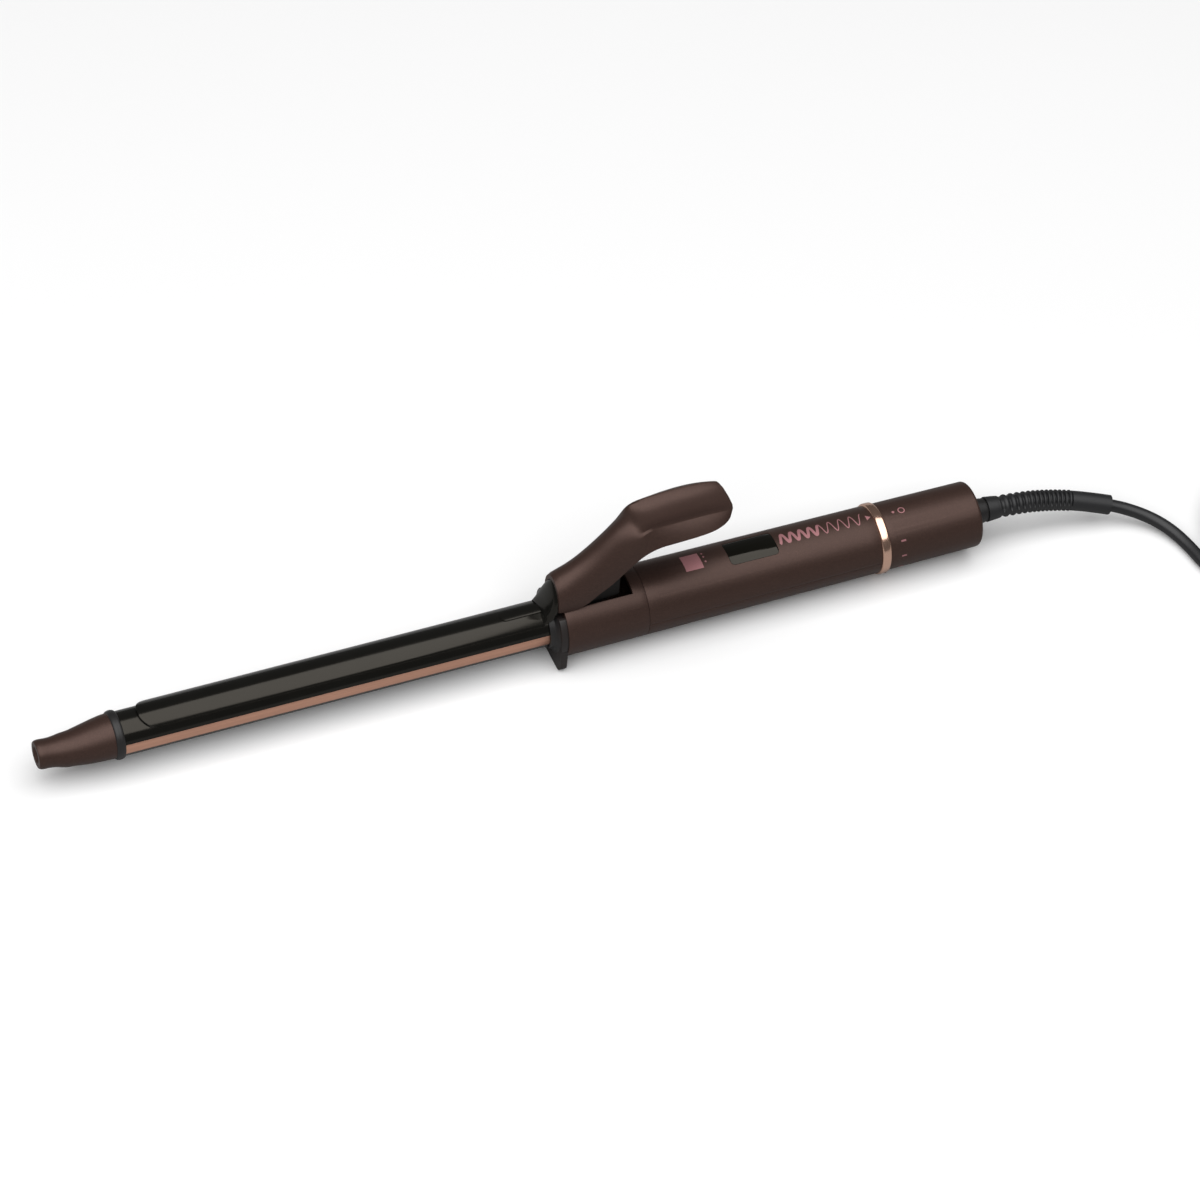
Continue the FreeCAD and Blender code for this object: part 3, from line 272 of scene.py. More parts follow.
def plastic_finish(name, colour, roughness=0.5, grain=1500.0):
    """Plain moulded plastic with a fine spark-eroded grain."""
    finish = Finish(name, IOR=1.47)
    where = finish.place()
    texture = finish.noise(where, grain, 3.0)
    cloud = finish.noise(where, 80.0, 3.0)
    finish.feed("Base Color", finish.blend(cloud, shade(colour, 0.82), shade(colour, 1.2)))
    finish.feed("Roughness", roughness + texture * 0.12)
    finish.feed("Normal", finish.bump(texture, 0.10, 0.00004))
    return finish.material


def metal_finish(name, colour, roughness=0.3, along=(60.0, 900.0, 900.0)):
    """Drawn or machined metal with grain along one direction."""
    finish = Finish(name, Metallic=1.0)
    grain = finish.noise(finish.place(along), 2.0, 3.0)
    finish.feed("Base Color", finish.blend(grain, shade(colour, 0.8), shade(colour, 1.15)))
    finish.feed("Roughness", roughness + grain * 0.15)
    finish.feed("Normal", finish.bump(grain, 0.15, 0.00003))
    return finish.material


def lens_finish():
    """Smoked display lens."""
    finish = Finish("smoked_lens", IOR=1.42, Specular_Tint=OLIVE_GLARE)
    where = finish.place()
    cloud = finish.noise(where, 120.0)
    finish.feed("Base Color", finish.blend(cloud, (0.002, 0.002, 0.001), (0.004, 0.004, 0.003)))
    finish.feed("Roughness", 0.05 + finish.noise(where, 300.0, 3.0) * 0.05)
    return finish.material


def board_finish():
    """Green solder mask with the traces showing through."""
    finish = Finish("solder_mask", IOR=1.5)
    where = finish.place((1.0, 1.0, 0.001))
    cells = finish.node("ShaderNodeTexVoronoi", {"feature": "DISTANCE_TO_EDGE"}, Vector=where, Scale=320.0)
    traces = finish.steps(cells, 0.04, 0.10)
    finish.feed("Base Color", finish.blend(traces, (0.03, 0.20, 0.08), (0.01, 0.09, 0.035)))
    finish.feed("Roughness", 0.30 + traces * 0.15)
    return finish.material


# Share of its seen colour that the floor throws back on the iron.
FLOOR_RETURN = 0.4


def floor_finish(colours):
    """Pale floor, matt and nearly even."""
    finish = Finish("pale_floor", IOR=1.3)
    finish.shader.inputs["Specular IOR Level"].default_value = 0.2
    where = finish.place()
    seen = finish.node("ShaderNodeLightPath", out="Is Camera Ray")
    # The floor throws back less light than it shows, as under a lit backdrop, so undersides stay dark.
    share = seen * (0.97 + finish.noise(where, 3.0) * 0.03)
    finish.feed("Base Color", finish.blend(share, shade(colours.floor, FLOOR_RETURN), colours.floor))
    finish.feed("Roughness", 0.55 + finish.noise(where, 8.0) * 0.05)
    return finish.material


MADE = {}


def finish_for(name):
    """The finish with that name, made once."""
    if name in MADE:
        return MADE[name]
    colours = bpy.context.scene.iron_colours
    makers = {
        "plum": lambda: plum_finish(colours),
        "black": lambda: gloss_black_finish(colours),
        "copper": lambda: copper_finish(colours),
        "rose": lambda: polished_finish("polished_rose_gold", colours.rose),
        "pink": lambda: print_finish(colours),
        "rubber": lambda: rubber_finish("bend_guard_rubber", colours.rubber, 0.42),
        "cord": lambda: rubber_finish("lead_vinyl", colours.rubber, 0.34),
        "collar": lambda: plastic_finish("black_collar_plastic", (0.014, 0.013, 0.013), 0.38),
        "foot": lambda: plastic_finish("foot_plastic", (0.016, 0.012, 0.011), 0.42),
        "lens": lens_finish,
        "steel": lambda: metal_finish("drawn_steel", (0.56, 0.56, 0.57)),
        "blackened": lambda: metal_finish("blackened_steel", (0.035, 0.033, 0.032), 0.45),
        "aluminium": lambda: metal_finish(
            "extruded_aluminium", (0.74, 0.74, 0.75), 0.35, (5.0, 500.0, 500.0)
        ),
        "ceramic": lambda: plastic_finish("white_ceramic", (0.78, 0.75, 0.69), 0.6, 900.0),
        "film": lambda: plastic_finish("amber_film", (0.46, 0.20, 0.03), 0.3, 400.0),
        "board": board_finish,
        "component": lambda: plastic_finish("component_black", (0.02, 0.02, 0.02), 0.45),
        "brass": lambda: metal_finish("contact_brass", (0.72, 0.50, 0.20), 0.28),
        "wire": lambda: rubber_finish("wire_sleeve", (0.33, 0.02, 0.015), 0.5),
        "nickel": lambda: polished_finish("pin_nickel", (0.66, 0.65, 0.61), 0.2),
        "plug": lambda: plastic_finish("plug_vinyl", (0.014, 0.014, 0.014), 0.4, 1200.0),
        "floor": lambda: floor_finish(colours),
    }
    MADE[name] = makers[name]()
    return MADE[name]


# ---- building pieces ------------------------------------------------------------------------------
def place(station, side, height):
    """A point of the frame from a station, a distance sideways and a height above the axis, in mm."""
    return Vector(((station + STATION_SHIFT) * MM, side * MM, (height + AXIS_HEIGHT) * MM))


def mark_edges(bm, limit=SMOOTH_LIMIT):
    """Smooth faces, with sharp edges where the surface turns by more than the limit."""
    for face in bm.faces:
        face.smooth = True
    for edge in bm.edges:
        edge.smooth = len(edge.link_faces) == 2 and edge.calc_face_angle(0.0) < limit


def finished_piece(name, bm, finish, body, replaced=(), limit=SMOOTH_LIMIT):
    """Turns a bmesh into an object that rides on a body and may stand for CAD nodes."""
    mark_edges(bm, limit)
    mesh = bpy.data.meshes.new(name)
    bm.to_mesh(mesh)
    bm.free()
    piece = bpy.data.objects.new(name, mesh)
    bpy.context.scene.collection.objects.link(piece)
    mesh.materials.append(finish_for(finish))
    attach(piece, body)
    if replaced:
        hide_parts(*replaced)
    return piece


def lathe(profile, steps=96):
    """Turns (station, radius) points round the axis into a closed body."""
    bm = bmesh.new()
    points = [bm.verts.new(place(s, 0, r)) for s, r in profile]
    ends = list(zip(points, points[1:] + points[:1]))
    edges = [bm.edges.new(pair) for pair in ends]
    bmesh.ops.spin(
        bm,
        geom=points + edges,
        cent=place(0, 0, 0),
        axis=(1, 0, 0),
        angle=FULL_TURN,
        steps=steps,
        use_merge=True,
        use_duplicate=False,
    )
    bmesh.ops.remove_doubles(bm, verts=bm.verts, dist=1e-7)
    bmesh.ops.recalc_face_normals(bm, faces=bm.faces)
    return bm


def rounded(profile, radii, steps=4):
    """Rounds the corners of a closed profile: one radius per corner, 0 for a sharp one."""
    result = []
    count = len(profile)
    for i, (corner, r) in enumerate(zip(profile, radii)):
        here = Vector(corner)
        if r == 0:
            result.append(corner)
            continue
        back = (Vector(profile[i - 1]) - here).normalized()
        ahead = (Vector(profile[(i + 1) % count]) - here).normalized()
        half = back.angle(ahead) / 2
        reach = r / math.tan(half)
        centre = here + (back + ahead).normalized() * (r / math.sin(half))
        first, last = here + back * reach - centre, here + ahead * reach - centre
        for k in range(steps + 1):
            spoke = first.slerp(last, k / steps)
            result.append(tuple(centre + spoke))
    return result


def merged_copy(node, edge=0.0):
    """A copy of a CAD node's mesh, merged, with its flat faces joined and its edges rounded."""
    bm = bmesh.new()
    bm.from_mesh(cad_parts[node].data)
    bmesh.ops.remove_doubles(bm, verts=bm.verts, dist=MERGE_DISTANCE)
    bmesh.ops.dissolve_limit(
        bm, angle_limit=FLAT_LIMIT, verts=bm.verts, edges=bm.edges, use_dissolve_boundaries=False
    )
    if edge:
        sharp = [e for e in bm.edges if len(e.link_faces) == 2 and e.calc_face_angle(0.0) > SMOOTH_LIMIT]
        bmesh.ops.bevel(
            bm,
            geom=sharp,
            offset=edge,
            segments=2,
            profile=0.5,
            affect="EDGES",
            material=-1,
            clamp_overlap=True,
        )
    return bm


def tube_along(points, radius_at, sides=24):
    """A closed tube along points; radius_at(share, angle) gives its radius in metres."""
    bm = bmesh.new()
    rings = []
    up = Vector((0, 0, 1))
    for i, point in enumerate(points):
        ahead = (points[min(i + 1, len(points) - 1)] - points[max(i - 1, 0)]).normalized()
        across = ahead.cross(up).normalized()
        rise = across.cross(ahead)
        turn = Matrix((across, rise, ahead)).transposed().to_4x4()
        ring = bmesh.ops.create_circle(bm, cap_ends=False, radius=1.0, segments=sides)["verts"]
        for vert in ring:
            angle = math.atan2(vert.co.y, vert.co.x)
            vert.co = turn @ (vert.co * radius_at(i / (len(points) - 1), angle)) + point
        rings.append(ring)
    edges_of = []
    for ring in rings:
        members = set(ring)
        touching = {e for v in ring for e in v.link_edges}
        edges_of.append([e for e in touching if e.verts[0] in members and e.verts[1] in members])
    for first, second in zip(edges_of, edges_of[1:]):
        bmesh.ops.bridge_loops(bm, edges=first + second)
    for ends in (edges_of[0], edges_of[-1]):
        bmesh.ops.contextual_create(bm, geom=ends)
    bmesh.ops.recalc_face_normals(bm, faces=bm.faces)
    return bm


def spline_points(points, count_per_span=12):
    """Points read from a smooth NURBS curve through a route."""
    curve = bpy.data.curves.new("route", "CURVE")
    curve.dimensions = "3D"
    curve.resolution_u = count_per_span
    spline = curve.splines.new("NURBS")
    spline.points.add(len(points) - 1)
    for knot, point in zip(spline.points, points):
        knot.co = (*point, 1.0)
    spline.order_u = 3
    spline.use_endpoint_u = True
    guide = bpy.data.objects.new("route", curve)
    bpy.context.scene.collection.objects.link(guide)
    bpy.context.view_layer.update()
    mesh = bpy.data.meshes.new_from_object(guide)
    found = [v.co.copy() for v in mesh.vertices]
    bpy.data.objects.remove(guide)
    bpy.data.meshes.remove(mesh)
    return found


# ---- hollow arched shells ---------------------------------------------------------------------------
# Share of the way up at which a flat pad's flank meets its top, and the top's half width there.
RIDGE_AT = 0.45
RIDGE_HALF = 8.5
# The rear end bulges over the last share of the shell's length.
BULGE_FROM, BULGE_RUN = 0.85, 0.15


def arch_point(row, t, wall, top_wall):
    """A point of an arched section; t runs from -1 at the near edge to 1 at the far edge."""
    station, half, crest, edge, pad, dip, tuck = row
    w = half - wall
    rise = max(crest - edge - top_wall, 0.15)
    up = 1.0 - abs(t)
    phi = up * math.pi / 2
    y = w * (math.cos(phi) - tuck * (1 - math.sin(phi)) ** 2)
    z = rise * math.sin(phi)
    ridge = min(RIDGE_HALF, 0.9 * half) * w / half
    if up < RIDGE_AT:
        share = up / RIDGE_AT
        flat_y = w + (ridge - w) * share
        flat_z = rise * (share + 0.35 * share * (1 - share))
    else:
        share = (up - RIDGE_AT) / (1 - RIDGE_AT)
        flat_y = ridge * (1 - share)
        flat_z = rise - min(dip, rise) * (1 - (1 - share) ** 3)
    y += (flat_y - y) * pad
    z += (flat_z - z) * pad
    return Vector((station, -math.copysign(y, -t) if t else 0.0, edge + z))


def between(rows, share):
    """Smooth values between the middle two of four rows."""
    a, b, c, d = (Vector(row) for row in rows)
    cubic = (3 * (b - c) + d - a) * share**3 + (2 * a - 5 * b + 4 * c - d) * share**2 + (c - a) * share
    return tuple(b + cubic / 2)


def arched_shell(front, rows, walls, bulge=0.0, steps=5, sides=20):
    """A hollow shell open below, lofted through section rows; its ends close on their middle line."""
    sections = list(front)
    for i in range(len(rows) - 1):
        four = (rows[max(i - 1, 0)], rows[i], rows[i + 1], rows[min(i + 2, len(rows) - 1)])
        sections += [between(four, k / steps) for k in range(steps)]
    sections.append(rows[-1])
    sections = [sections[0], *sections, sections[-1]]
    ts = [2.0 * k / sides - 1.0 for k in range(sides + 1)]
    bm = bmesh.new()
    across = 2 * len(ts)
    bmesh.ops.create_grid(bm, x_segments=len(sections) - 1, y_segments=across, size=0.5)
    first, last = sections[0][0], sections[-1][0]
    for vert in bm.verts:
        i = round((vert.co.x + 0.5) * (len(sections) - 1))
        j = round((vert.co.y + 0.5) * across) % across
        t = ts[j] if j < len(ts) else ts[across - 1 - j]
        outer = arch_point(sections[i], t, 0.0, 0.0)
        inner = arch_point(sections[i], t, *walls)
        if i in (0, len(sections) - 1):
            spot = (outer + inner) / 2
        else:
            spot = outer if j < len(ts) else inner
        tail = max(0.0, (spot.x - first) / (last - first) - BULGE_FROM) / BULGE_RUN
        spot.x += bulge * tail * tail * (1 - t * t)
        vert.co = place(*spot)
    bmesh.ops.remove_doubles(bm, verts=bm.verts, dist=1e-6)
    bmesh.ops.recalc_face_normals(bm, faces=bm.faces)
    return bm


# Rows: station, half width, crest height, edge height, share of the flat pad, depth of the finger
# channel and share by which the section draws in at its edge.
LEVER_FRONT = [(3.6, 9.1, 26.6, 13.75, 0.0, 0.0, 0.14)]
LEVER_ROWS = [
    (5.2, 9.6, 27.8, 13.75, 0.0, 0.0, 0.14),
    (8.5, 9.9, 29.5, 13.8, 0.0, 0.0, 0.14),
    (12.0, 9.9, 31.6, 14.1, 0.0, 0.0, 0.13),
    (16.0, 9.9, 34.4, 16.3, 0.0, 0.0, 0.08),
    (21.0, 9.7, 38.8, 20.7, 0.0, 0.0, 0.04),
    (26.0, 9.6, 44.0, 24.8, 0.0, 0.0, 0.0),
    (30.5, 10.0, 48.2, 29.7, 0.0, 0.0, 0.0),
    (35.0, 11.0, 51.0, 35.8, 0.1, 0.6, 0.0),
    (39.5, 12.2, 52.2, 41.2, 0.75, 2.2, 0.0),
    (45.0, 13.4, 52.9, 44.9, 1.0, 2.6, 0.0),
    (53.0, 14.3, 53.4, 46.5, 1.0, 2.4, 0.0),
    (61.0, 14.6, 53.6, 47.3, 1.0, 2.3, 0.0),
    (68.0, 14.2, 53.5, 47.8, 1.0, 2.1, 0.0),
    (73.0, 13.0, 53.1, 48.4, 1.0, 1.7, 0.0),
    (76.5, 11.2, 52.5, 49.2, 1.0, 1.3, 0.0),
    (78.4, 9.0, 51.8, 50.0, 1.0, 0.8, 0.0),
    (79.3, 6.2, 51.2, 50.3, 1.0, 0.4, 0.0),
]
# Wall thickness at the flanks and at the crest.
LEVER_WALLS = (1.6, 2.0)
LEVER_BULGE = 1.4
THROAT_ROWS = [
    (-2.1, 7.5, 10.95, 7.5, 0.0, 0.0, 0.0),
    (-0.5, 7.7, 14.3, 8.8, 0.0, 0.0, 0.0),
    (1.1, 8.1, 18.4, 10.3, 0.0, 0.0, 0.0),
    (2.7, 8.2, 22.2, 11.5, 0.0, 0.0, 0.04),
    (4.4, 7.9, 24.5, 12.8, 0.0, 0.0, 0.1),
    (6.6, 7.4, 25.2, 14.0, 0.0, 0.0, 0.2),
]
THROAT_WALLS = (1.2, 1.2)
# The tongue is the part of the neck in front of this station.
TONGUE_REAR = -2.0


# ---- the print on the handle ------------------------------------------------------------------------
def shell_radius(station):
    """Radius of the handle or the dial at a station."""
    if station > DIAL_START:
        share = (station - DIAL_START) / (DIAL_END - DIAL_START)
        return DIAL_START_R + share * (DIAL_END_R - DIAL_START_R)
    share = (station - HANDLE_START) / (HANDLE_END - HANDLE_START)
    return HANDLE_START_R + share * (HANDLE_END_R - HANDLE_START_R)


def wrap_flat(bm, sunk=0.04):
    """Thickens a flat outline, drawn in mm as (station, arc length), and wraps it on the shell."""
    stand = bpy.context.scene.iron_sizes.print_height / MM
    grown = bmesh.ops.extrude_face_region(bm, geom=bm.faces[:], use_keep_orig=True)["geom"]
    top = {v for v in grown if isinstance(v, bmesh.types.BMVert)}
    for vert in bm.verts:
        station, arc = vert.co.x, vert.co.y
        r = shell_radius(station)
        height = r + stand if vert in top else r - sunk
        angle = arc / r
        vert.co = place(station, -height * math.sin(angle), height * math.cos(angle))
    bmesh.ops.recalc_face_normals(bm, faces=bm.faces)


def ribbon(bm, path, width):
    """Adds a flat ribbon of that width along a path of (station, arc) points."""
    left, right = [], []
    for i, point in enumerate(path):
        before = Vector(path[max(i - 1, 0)])
        after = Vector(path[min(i + 1, len(path) - 1)])
        across = (after - before).normalized().orthogonal() * (width / 2)
        left.append(bm.verts.new((*(Vector(point) + across), 0.0)))
        right.append(bm.verts.new((*(Vector(point) - across), 0.0)))
    for i in range(len(path) - 1):
        bm.faces.new((left[i], left[i + 1], right[i + 1], right[i]))


def dot(bm, station, arc, r, steps=16):
    """A small filled circle."""
    verts = bmesh.ops.create_circle(bm, cap_ends=True, radius=r, segments=steps)["verts"]
    bmesh.ops.translate(bm, verts=verts, vec=(station, arc, 0.0))


def bar(bm, station, arc, length, width, cuts=4):
    """A small rectangle, length along the handle and width round it."""
    verts = bmesh.ops.create_grid(bm, x_segments=cuts, y_segments=cuts, size=0.5)["verts"]
    bmesh.ops.scale(bm, verts=verts, vec=(length, width, 1.0))
    bmesh.ops.translate(bm, verts=verts, vec=(station, arc, 0.0))


WAVE_STEPS = 96


def wave_path(start, run, height, waves):
    """Points of a wave that starts on a crest of that height, along the handle's top."""
    path = []
    for i in range(WAVE_STEPS + 1):
        share = i / WAVE_STEPS
        arc = height * math.sin(FULL_TURN * waves * share + math.pi / 2)
        path.append((start + run * share, arc))
    return path


def printed(name, draw, body):
    """One printed piece on the handle or the dial."""
    bm = bmesh.new()
    draw(bm)
    wrap_flat(bm)
    finished_piece(name, bm, "pink", body)


# Stations and arc lengths in mm, angles in degrees from the handle's top.
BADGE_AT, BADGE_LENGTH, BADGE_WIDTH, BADGE_CUTS = 66.9, 8.0, 8.6, 10
DOTS_AT, DOT_R = 72.6, 0.42
DOT_ANGLES = (-12.0, -4.0, 6.0)
BOLD_START, BOLD_RUN, BOLD_WAVES, BOLD_WIDTH, BOLD_SHARE = 106.6, 19.0, 4.5, 1.25, 0.82
THIN_START, THIN_RUN, THIN_WAVES, THIN_WIDTH, THIN_SHARE = 125.6, 19.6, 4.0, 0.42, 0.95
POINTER_CORNERS = [(147.0, -1.0), (149.1, 0.3), (147.0, 1.6)]
DIAL_MARK_ARC = 0.7
DIAL_DOT_AT, DIAL_DOT_R = 159.4, 0.6
DIAL_RING_AT, DIAL_RING_R, DIAL_RING_WIDTH, DIAL_RING_STEPS = 163.2, 1.35, 0.45, 32
DIAL_BARS_AT, DIAL_BAR_LENGTH, DIAL_BAR_WIDTH = 160.1, 2.2, 0.8
DIAL_BAR_ANGLES = (55.8, 84.5, 119.2, 149.0, 179.0)


# ---- operators --------------------------------------------------------------------------------------
TIP_RING_WIDTH, TIP_RING_BORE_R, TIP_RING_STAND = 2.5, 8.5, 0.1
TIP_GROOVE_HALF, TIP_GROOVE_DEPTH = 0.22, 0.35
ROSE_RING_WIDTH, ROSE_RING_BORE_R, ROSE_RING_STAND = 2.8, 12.0, 0.12
ROSE_LIP_REACH, ROSE_LIP_DROP = 1.0, 2.1


class IRON_OT_tip(bpy.types.Operator):
    """Cool tip, its two-band ring, the barrel and the copper strips"""

    bl_idname = "iron.tip"
    bl_label = "Tip and barrel"

    def execute(self, context):
        edge = context.scene.iron_sizes.edge
        finished_piece("cool_tip", merged_copy("tip_cap"), "plum", "root", ["tip_cap"])
        ring_front = BARREL_FRONT - TIP_RING_WIDTH
        mid = BARREL_FRONT - TIP_RING_WIDTH / 2
        r = BARREL_R + TIP_RING_STAND
        profile = [
            (ring_front, TIP_RING_BORE_R),
            (ring_front, r),
            (mid - TIP_GROOVE_HALF, r),
            (mid - TIP_GROOVE_HALF, r - TIP_GROOVE_DEPTH),
            (mid + TIP_GROOVE_HALF, r - TIP_GROOVE_DEPTH),
            (mid + TIP_GROOVE_HALF, r),
            (BARREL_FRONT, r),
            (BARREL_FRONT, TIP_RING_BORE_R),
        ]
        soft = rounded(profile, [0, 0.3, 0.12, 0.05, 0.05, 0.12, 0.3, 0])
        finished_piece("tip_ring", lathe(soft), "collar", "root", ["tip_collar"])
        barrel = merged_copy("barrel_tube")
        finished_piece("barrel", barrel, "black", "root", ["barrel_tube"])
        strips = merged_copy("barrel_strips", edge * 0.25)
        finished_piece("copper_strips", strips, "copper", "root", ["barrel_strips"])
        return {"FINISHED"}


class IRON_OT_clamp(bpy.types.Operator):
    """Clamp blade, its neck and the thumb lever"""

    bl_idname = "iron.clamp"
    bl_label = "Clamp and lever"

    def execute(self, context):
        edge = context.scene.iron_sizes.edge
        blade = merged_copy("clamp_plate", edge * 0.7)
        finished_piece("clamp_blade", blade, "black", "clamp", ["clamp_plate"])
        throat = arched_shell([], THROAT_ROWS, THROAT_WALLS)
        finished_piece("clamp_throat", throat, "black", "clamp", ["clamp_neck"])
        tongue = merged_copy("clamp_neck")
        cut = bmesh.ops.bisect_plane(
            tongue,
            geom=tongue.verts[:] + tongue.edges[:] + tongue.faces[:],
            plane_co=place(TONGUE_REAR, 0, 0),
            plane_no=(1, 0, 0),
            clear_outer=True,
        )["geom_cut"]
        bmesh.ops.contextual_create(tongue, geom=[g for g in cut if isinstance(g, bmesh.types.BMEdge)])
        finished_piece("clamp_tongue", tongue, "black", "clamp")
        lever = arched_shell(LEVER_FRONT, LEVER_ROWS, LEVER_WALLS, bulge=LEVER_BULGE)
        finished_piece("lever_moulding", lever, "plum", "clamp", ["thumb_lever"])
        return {"FINISHED"}


class IRON_OT_body(bpy.types.Operator):
    """Collar, foot, fulcrum housing and handle shells"""

    bl_idname = "iron.body"
    bl_label = "Housing and handle"

    def execute(self, context):
        edge = context.scene.iron_sizes.edge
        collar = merged_copy("front_collar", edge * 0.5)
        finished_piece("root_collar", collar, "collar", "root", ["front_collar"])
        foot = merged_copy("stand_foot", edge)
        finished_piece("foot_plate", foot, "foot", "root", ["stand_foot"])
        housing = merged_copy("front_housing", edge * 0.6)
        finished_piece("fulcrum_housing", housing, "plum", "root", ["front_housing"])
        for node, name in (("handle_shell_upper", "upper_shell"), ("handle_shell_lower", "lower_shell")):
            shell = merged_copy(node, edge * 0.5)
            finished_piece(name, shell, "plum", "root", [node])
        window = merged_copy("display_window", edge * 0.6)
        finished_piece("display_lens", window, "lens", "root", ["display_window"])
        return {"FINISHED"}


class IRON_OT_dial(bpy.types.Operator):
    """Polished ring, temperature dial and turning cord outlet"""

    bl_idname = "iron.dial"
    bl_label = "Ring, dial and outlet"

    def execute(self, context):
        ring_r = HANDLE_END_R + ROSE_RING_STAND
        lip = HANDLE_END_R - ROSE_LIP_DROP
        ring = rounded(
            [
                (HANDLE_END - ROSE_LIP_REACH, ROSE_RING_BORE_R),
                (HANDLE_END - ROSE_LIP_REACH, lip),
                (HANDLE_END, lip),
                (HANDLE_END, ring_r),
                (HANDLE_END + ROSE_RING_WIDTH, ring_r),
                (HANDLE_END + ROSE_RING_WIDTH, ROSE_RING_BORE_R),
            ],
            [0, 0, 0, 0.3, 0.3, 0],
        )
        finished_piece("rose_ring", lathe(ring, 128), "rose", "root", ["trim_ring"])
        dial = merged_copy("temperature_dial", context.scene.iron_sizes.edge * 0.5)
        finished_piece("heat_dial", dial, "plum", "dial", ["temperature_dial"])
        outlet = merged_copy("swivel_collar", context.scene.iron_sizes.edge * 0.6)
        finished_piece("cord_outlet", outlet, "collar", "swivel", ["swivel_collar"])
        return {"FINISHED"}


class IRON_OT_marks(bpy.types.Operator):
    """Printed badge, wave, pointer and dial marks"""

    bl_idname = "iron.marks"
    bl_label = "Printed marks"

    def execute(self, context):
        wave = context.scene.iron_sizes.wave_height / MM / 2

        def badge(bm):
            bar(bm, BADGE_AT, 0.0, BADGE_LENGTH, BADGE_WIDTH, BADGE_CUTS)

        def badge_dots(bm):
            for angle in DOT_ANGLES:
                dot(bm, DOTS_AT, math.radians(angle) * shell_radius(DOTS_AT), DOT_R)

        def bold_wave(bm):
            ribbon(bm, wave_path(BOLD_START, BOLD_RUN, wave * BOLD_SHARE, BOLD_WAVES), BOLD_WIDTH)

        def thin_wave(bm):
            ribbon(bm, wave_path(THIN_START, THIN_RUN, -wave * THIN_SHARE, THIN_WAVES), THIN_WIDTH)

        def pointer(bm):
            bm.faces.new([bm.verts.new((s, a, 0.0)) for s, a in POINTER_CORNERS])

        def dial_marks(bm):
            dot(bm, DIAL_DOT_AT, DIAL_MARK_ARC, DIAL_DOT_R)
            turns = [FULL_TURN * k / DIAL_RING_STEPS for k in range(DIAL_RING_STEPS + 1)]
            ring = [
                (DIAL_RING_AT + DIAL_RING_R * math.cos(a), DIAL_MARK_ARC + DIAL_RING_R * math.sin(a))
                for a in turns
            ]
            ribbon(bm, ring, DIAL_RING_WIDTH)
            for angle in DIAL_BAR_ANGLES:
                arc = math.radians(angle) * shell_radius(DIAL_BARS_AT)
                bar(bm, DIAL_BARS_AT, arc, DIAL_BAR_LENGTH, DIAL_BAR_WIDTH)

        printed("badge", badge, "root")
        printed("badge_dots", badge_dots, "root")
        printed("wave_bold", bold_wave, "root")
        printed("wave_thin", thin_wave, "root")
        printed("pointer", pointer, "root")
        printed("dial_marks", dial_marks, "dial")
        return {"FINISHED"}


# Stations, distances sideways and heights of the lead's centre line, in mm.
RELIEF_ROUTE = [
    (204.6, 0.0, 0.0),
    (220.0, -0.5, -0.4),
    (234.5, -2.3, -1.9),
    (248.5, -5.2, -4.3),
    (260.5, -9.0, -7.2),
]
LEAD_ROUTE = [
    (260.5, -9.0, -7.2),
    (268.5, -12.4, -9.3),
    (276.6, -18.0, -11.5),
    (282.8, -25.7, -13.2),
    (286.8, -36.0, -14.4),
    (288.8, -49.0, -14.4),
    (294.3, -60.8, -14.4),
    (303.5, -70.0, -14.1),
    (314.2, -75.4, -13.65),
]
COIL_CENTRE = (336.0, -44.0)
COIL_MEAN_R = 31.5
COIL_LOW = -13.65
COIL_START_ANGLE = math.radians(250.0)
TAIL_ROUTE = [
    (336.0, -81.0, -2.65),
    (348.5, -81.6, -3.15),
    (362.0, -80.4, -5.85),
    (374.5, -77.4, -8.8),
    (385.5, -74.0, -10.4),
]
# Where each turn of the coil lies: column outwards (+1 is the outer one) and layer upwards.
COIL_PLACES = [(1, 0), (0, 0), (-1, 0), (-1, 1), (-1, 2), (0, 2), (0, 1), (1, 1), (1, 2)]
POINTS_PER_TURN = 16
COIL_TURNS = 8.056
# A turn crosses to the next one's place over its last share.
CROSSING_FROM, CROSSING_RUN = 0.72, 0.28

# The bend guard, in mm: a flared root, tapering ribs with a spine on either side, and a plain sleeve.
GUARD_ROOT_R, GUARD_ROOT_DROP, GUARD_ROOT_LENGTH = 5.5, 0.5, 3.2
GUARD_R, GUARD_TAPER, GUARD_RIBS_END = 4.95, 0.35, 41.0
GUARD_SLEEVE_R = 4.3
GROOVE_DEPTH = 1.15
RIB_SHARE, RIB_FULLNESS = 0.72, 0.45
SPINE_FROM, SPINE_FADE, SPINE_GAIN, SPINE_HEIGHT = 0.93, 0.07, 1.4, 0.85
TIE_EDGE, PLUG_EDGE = 0.0002, 0.0009


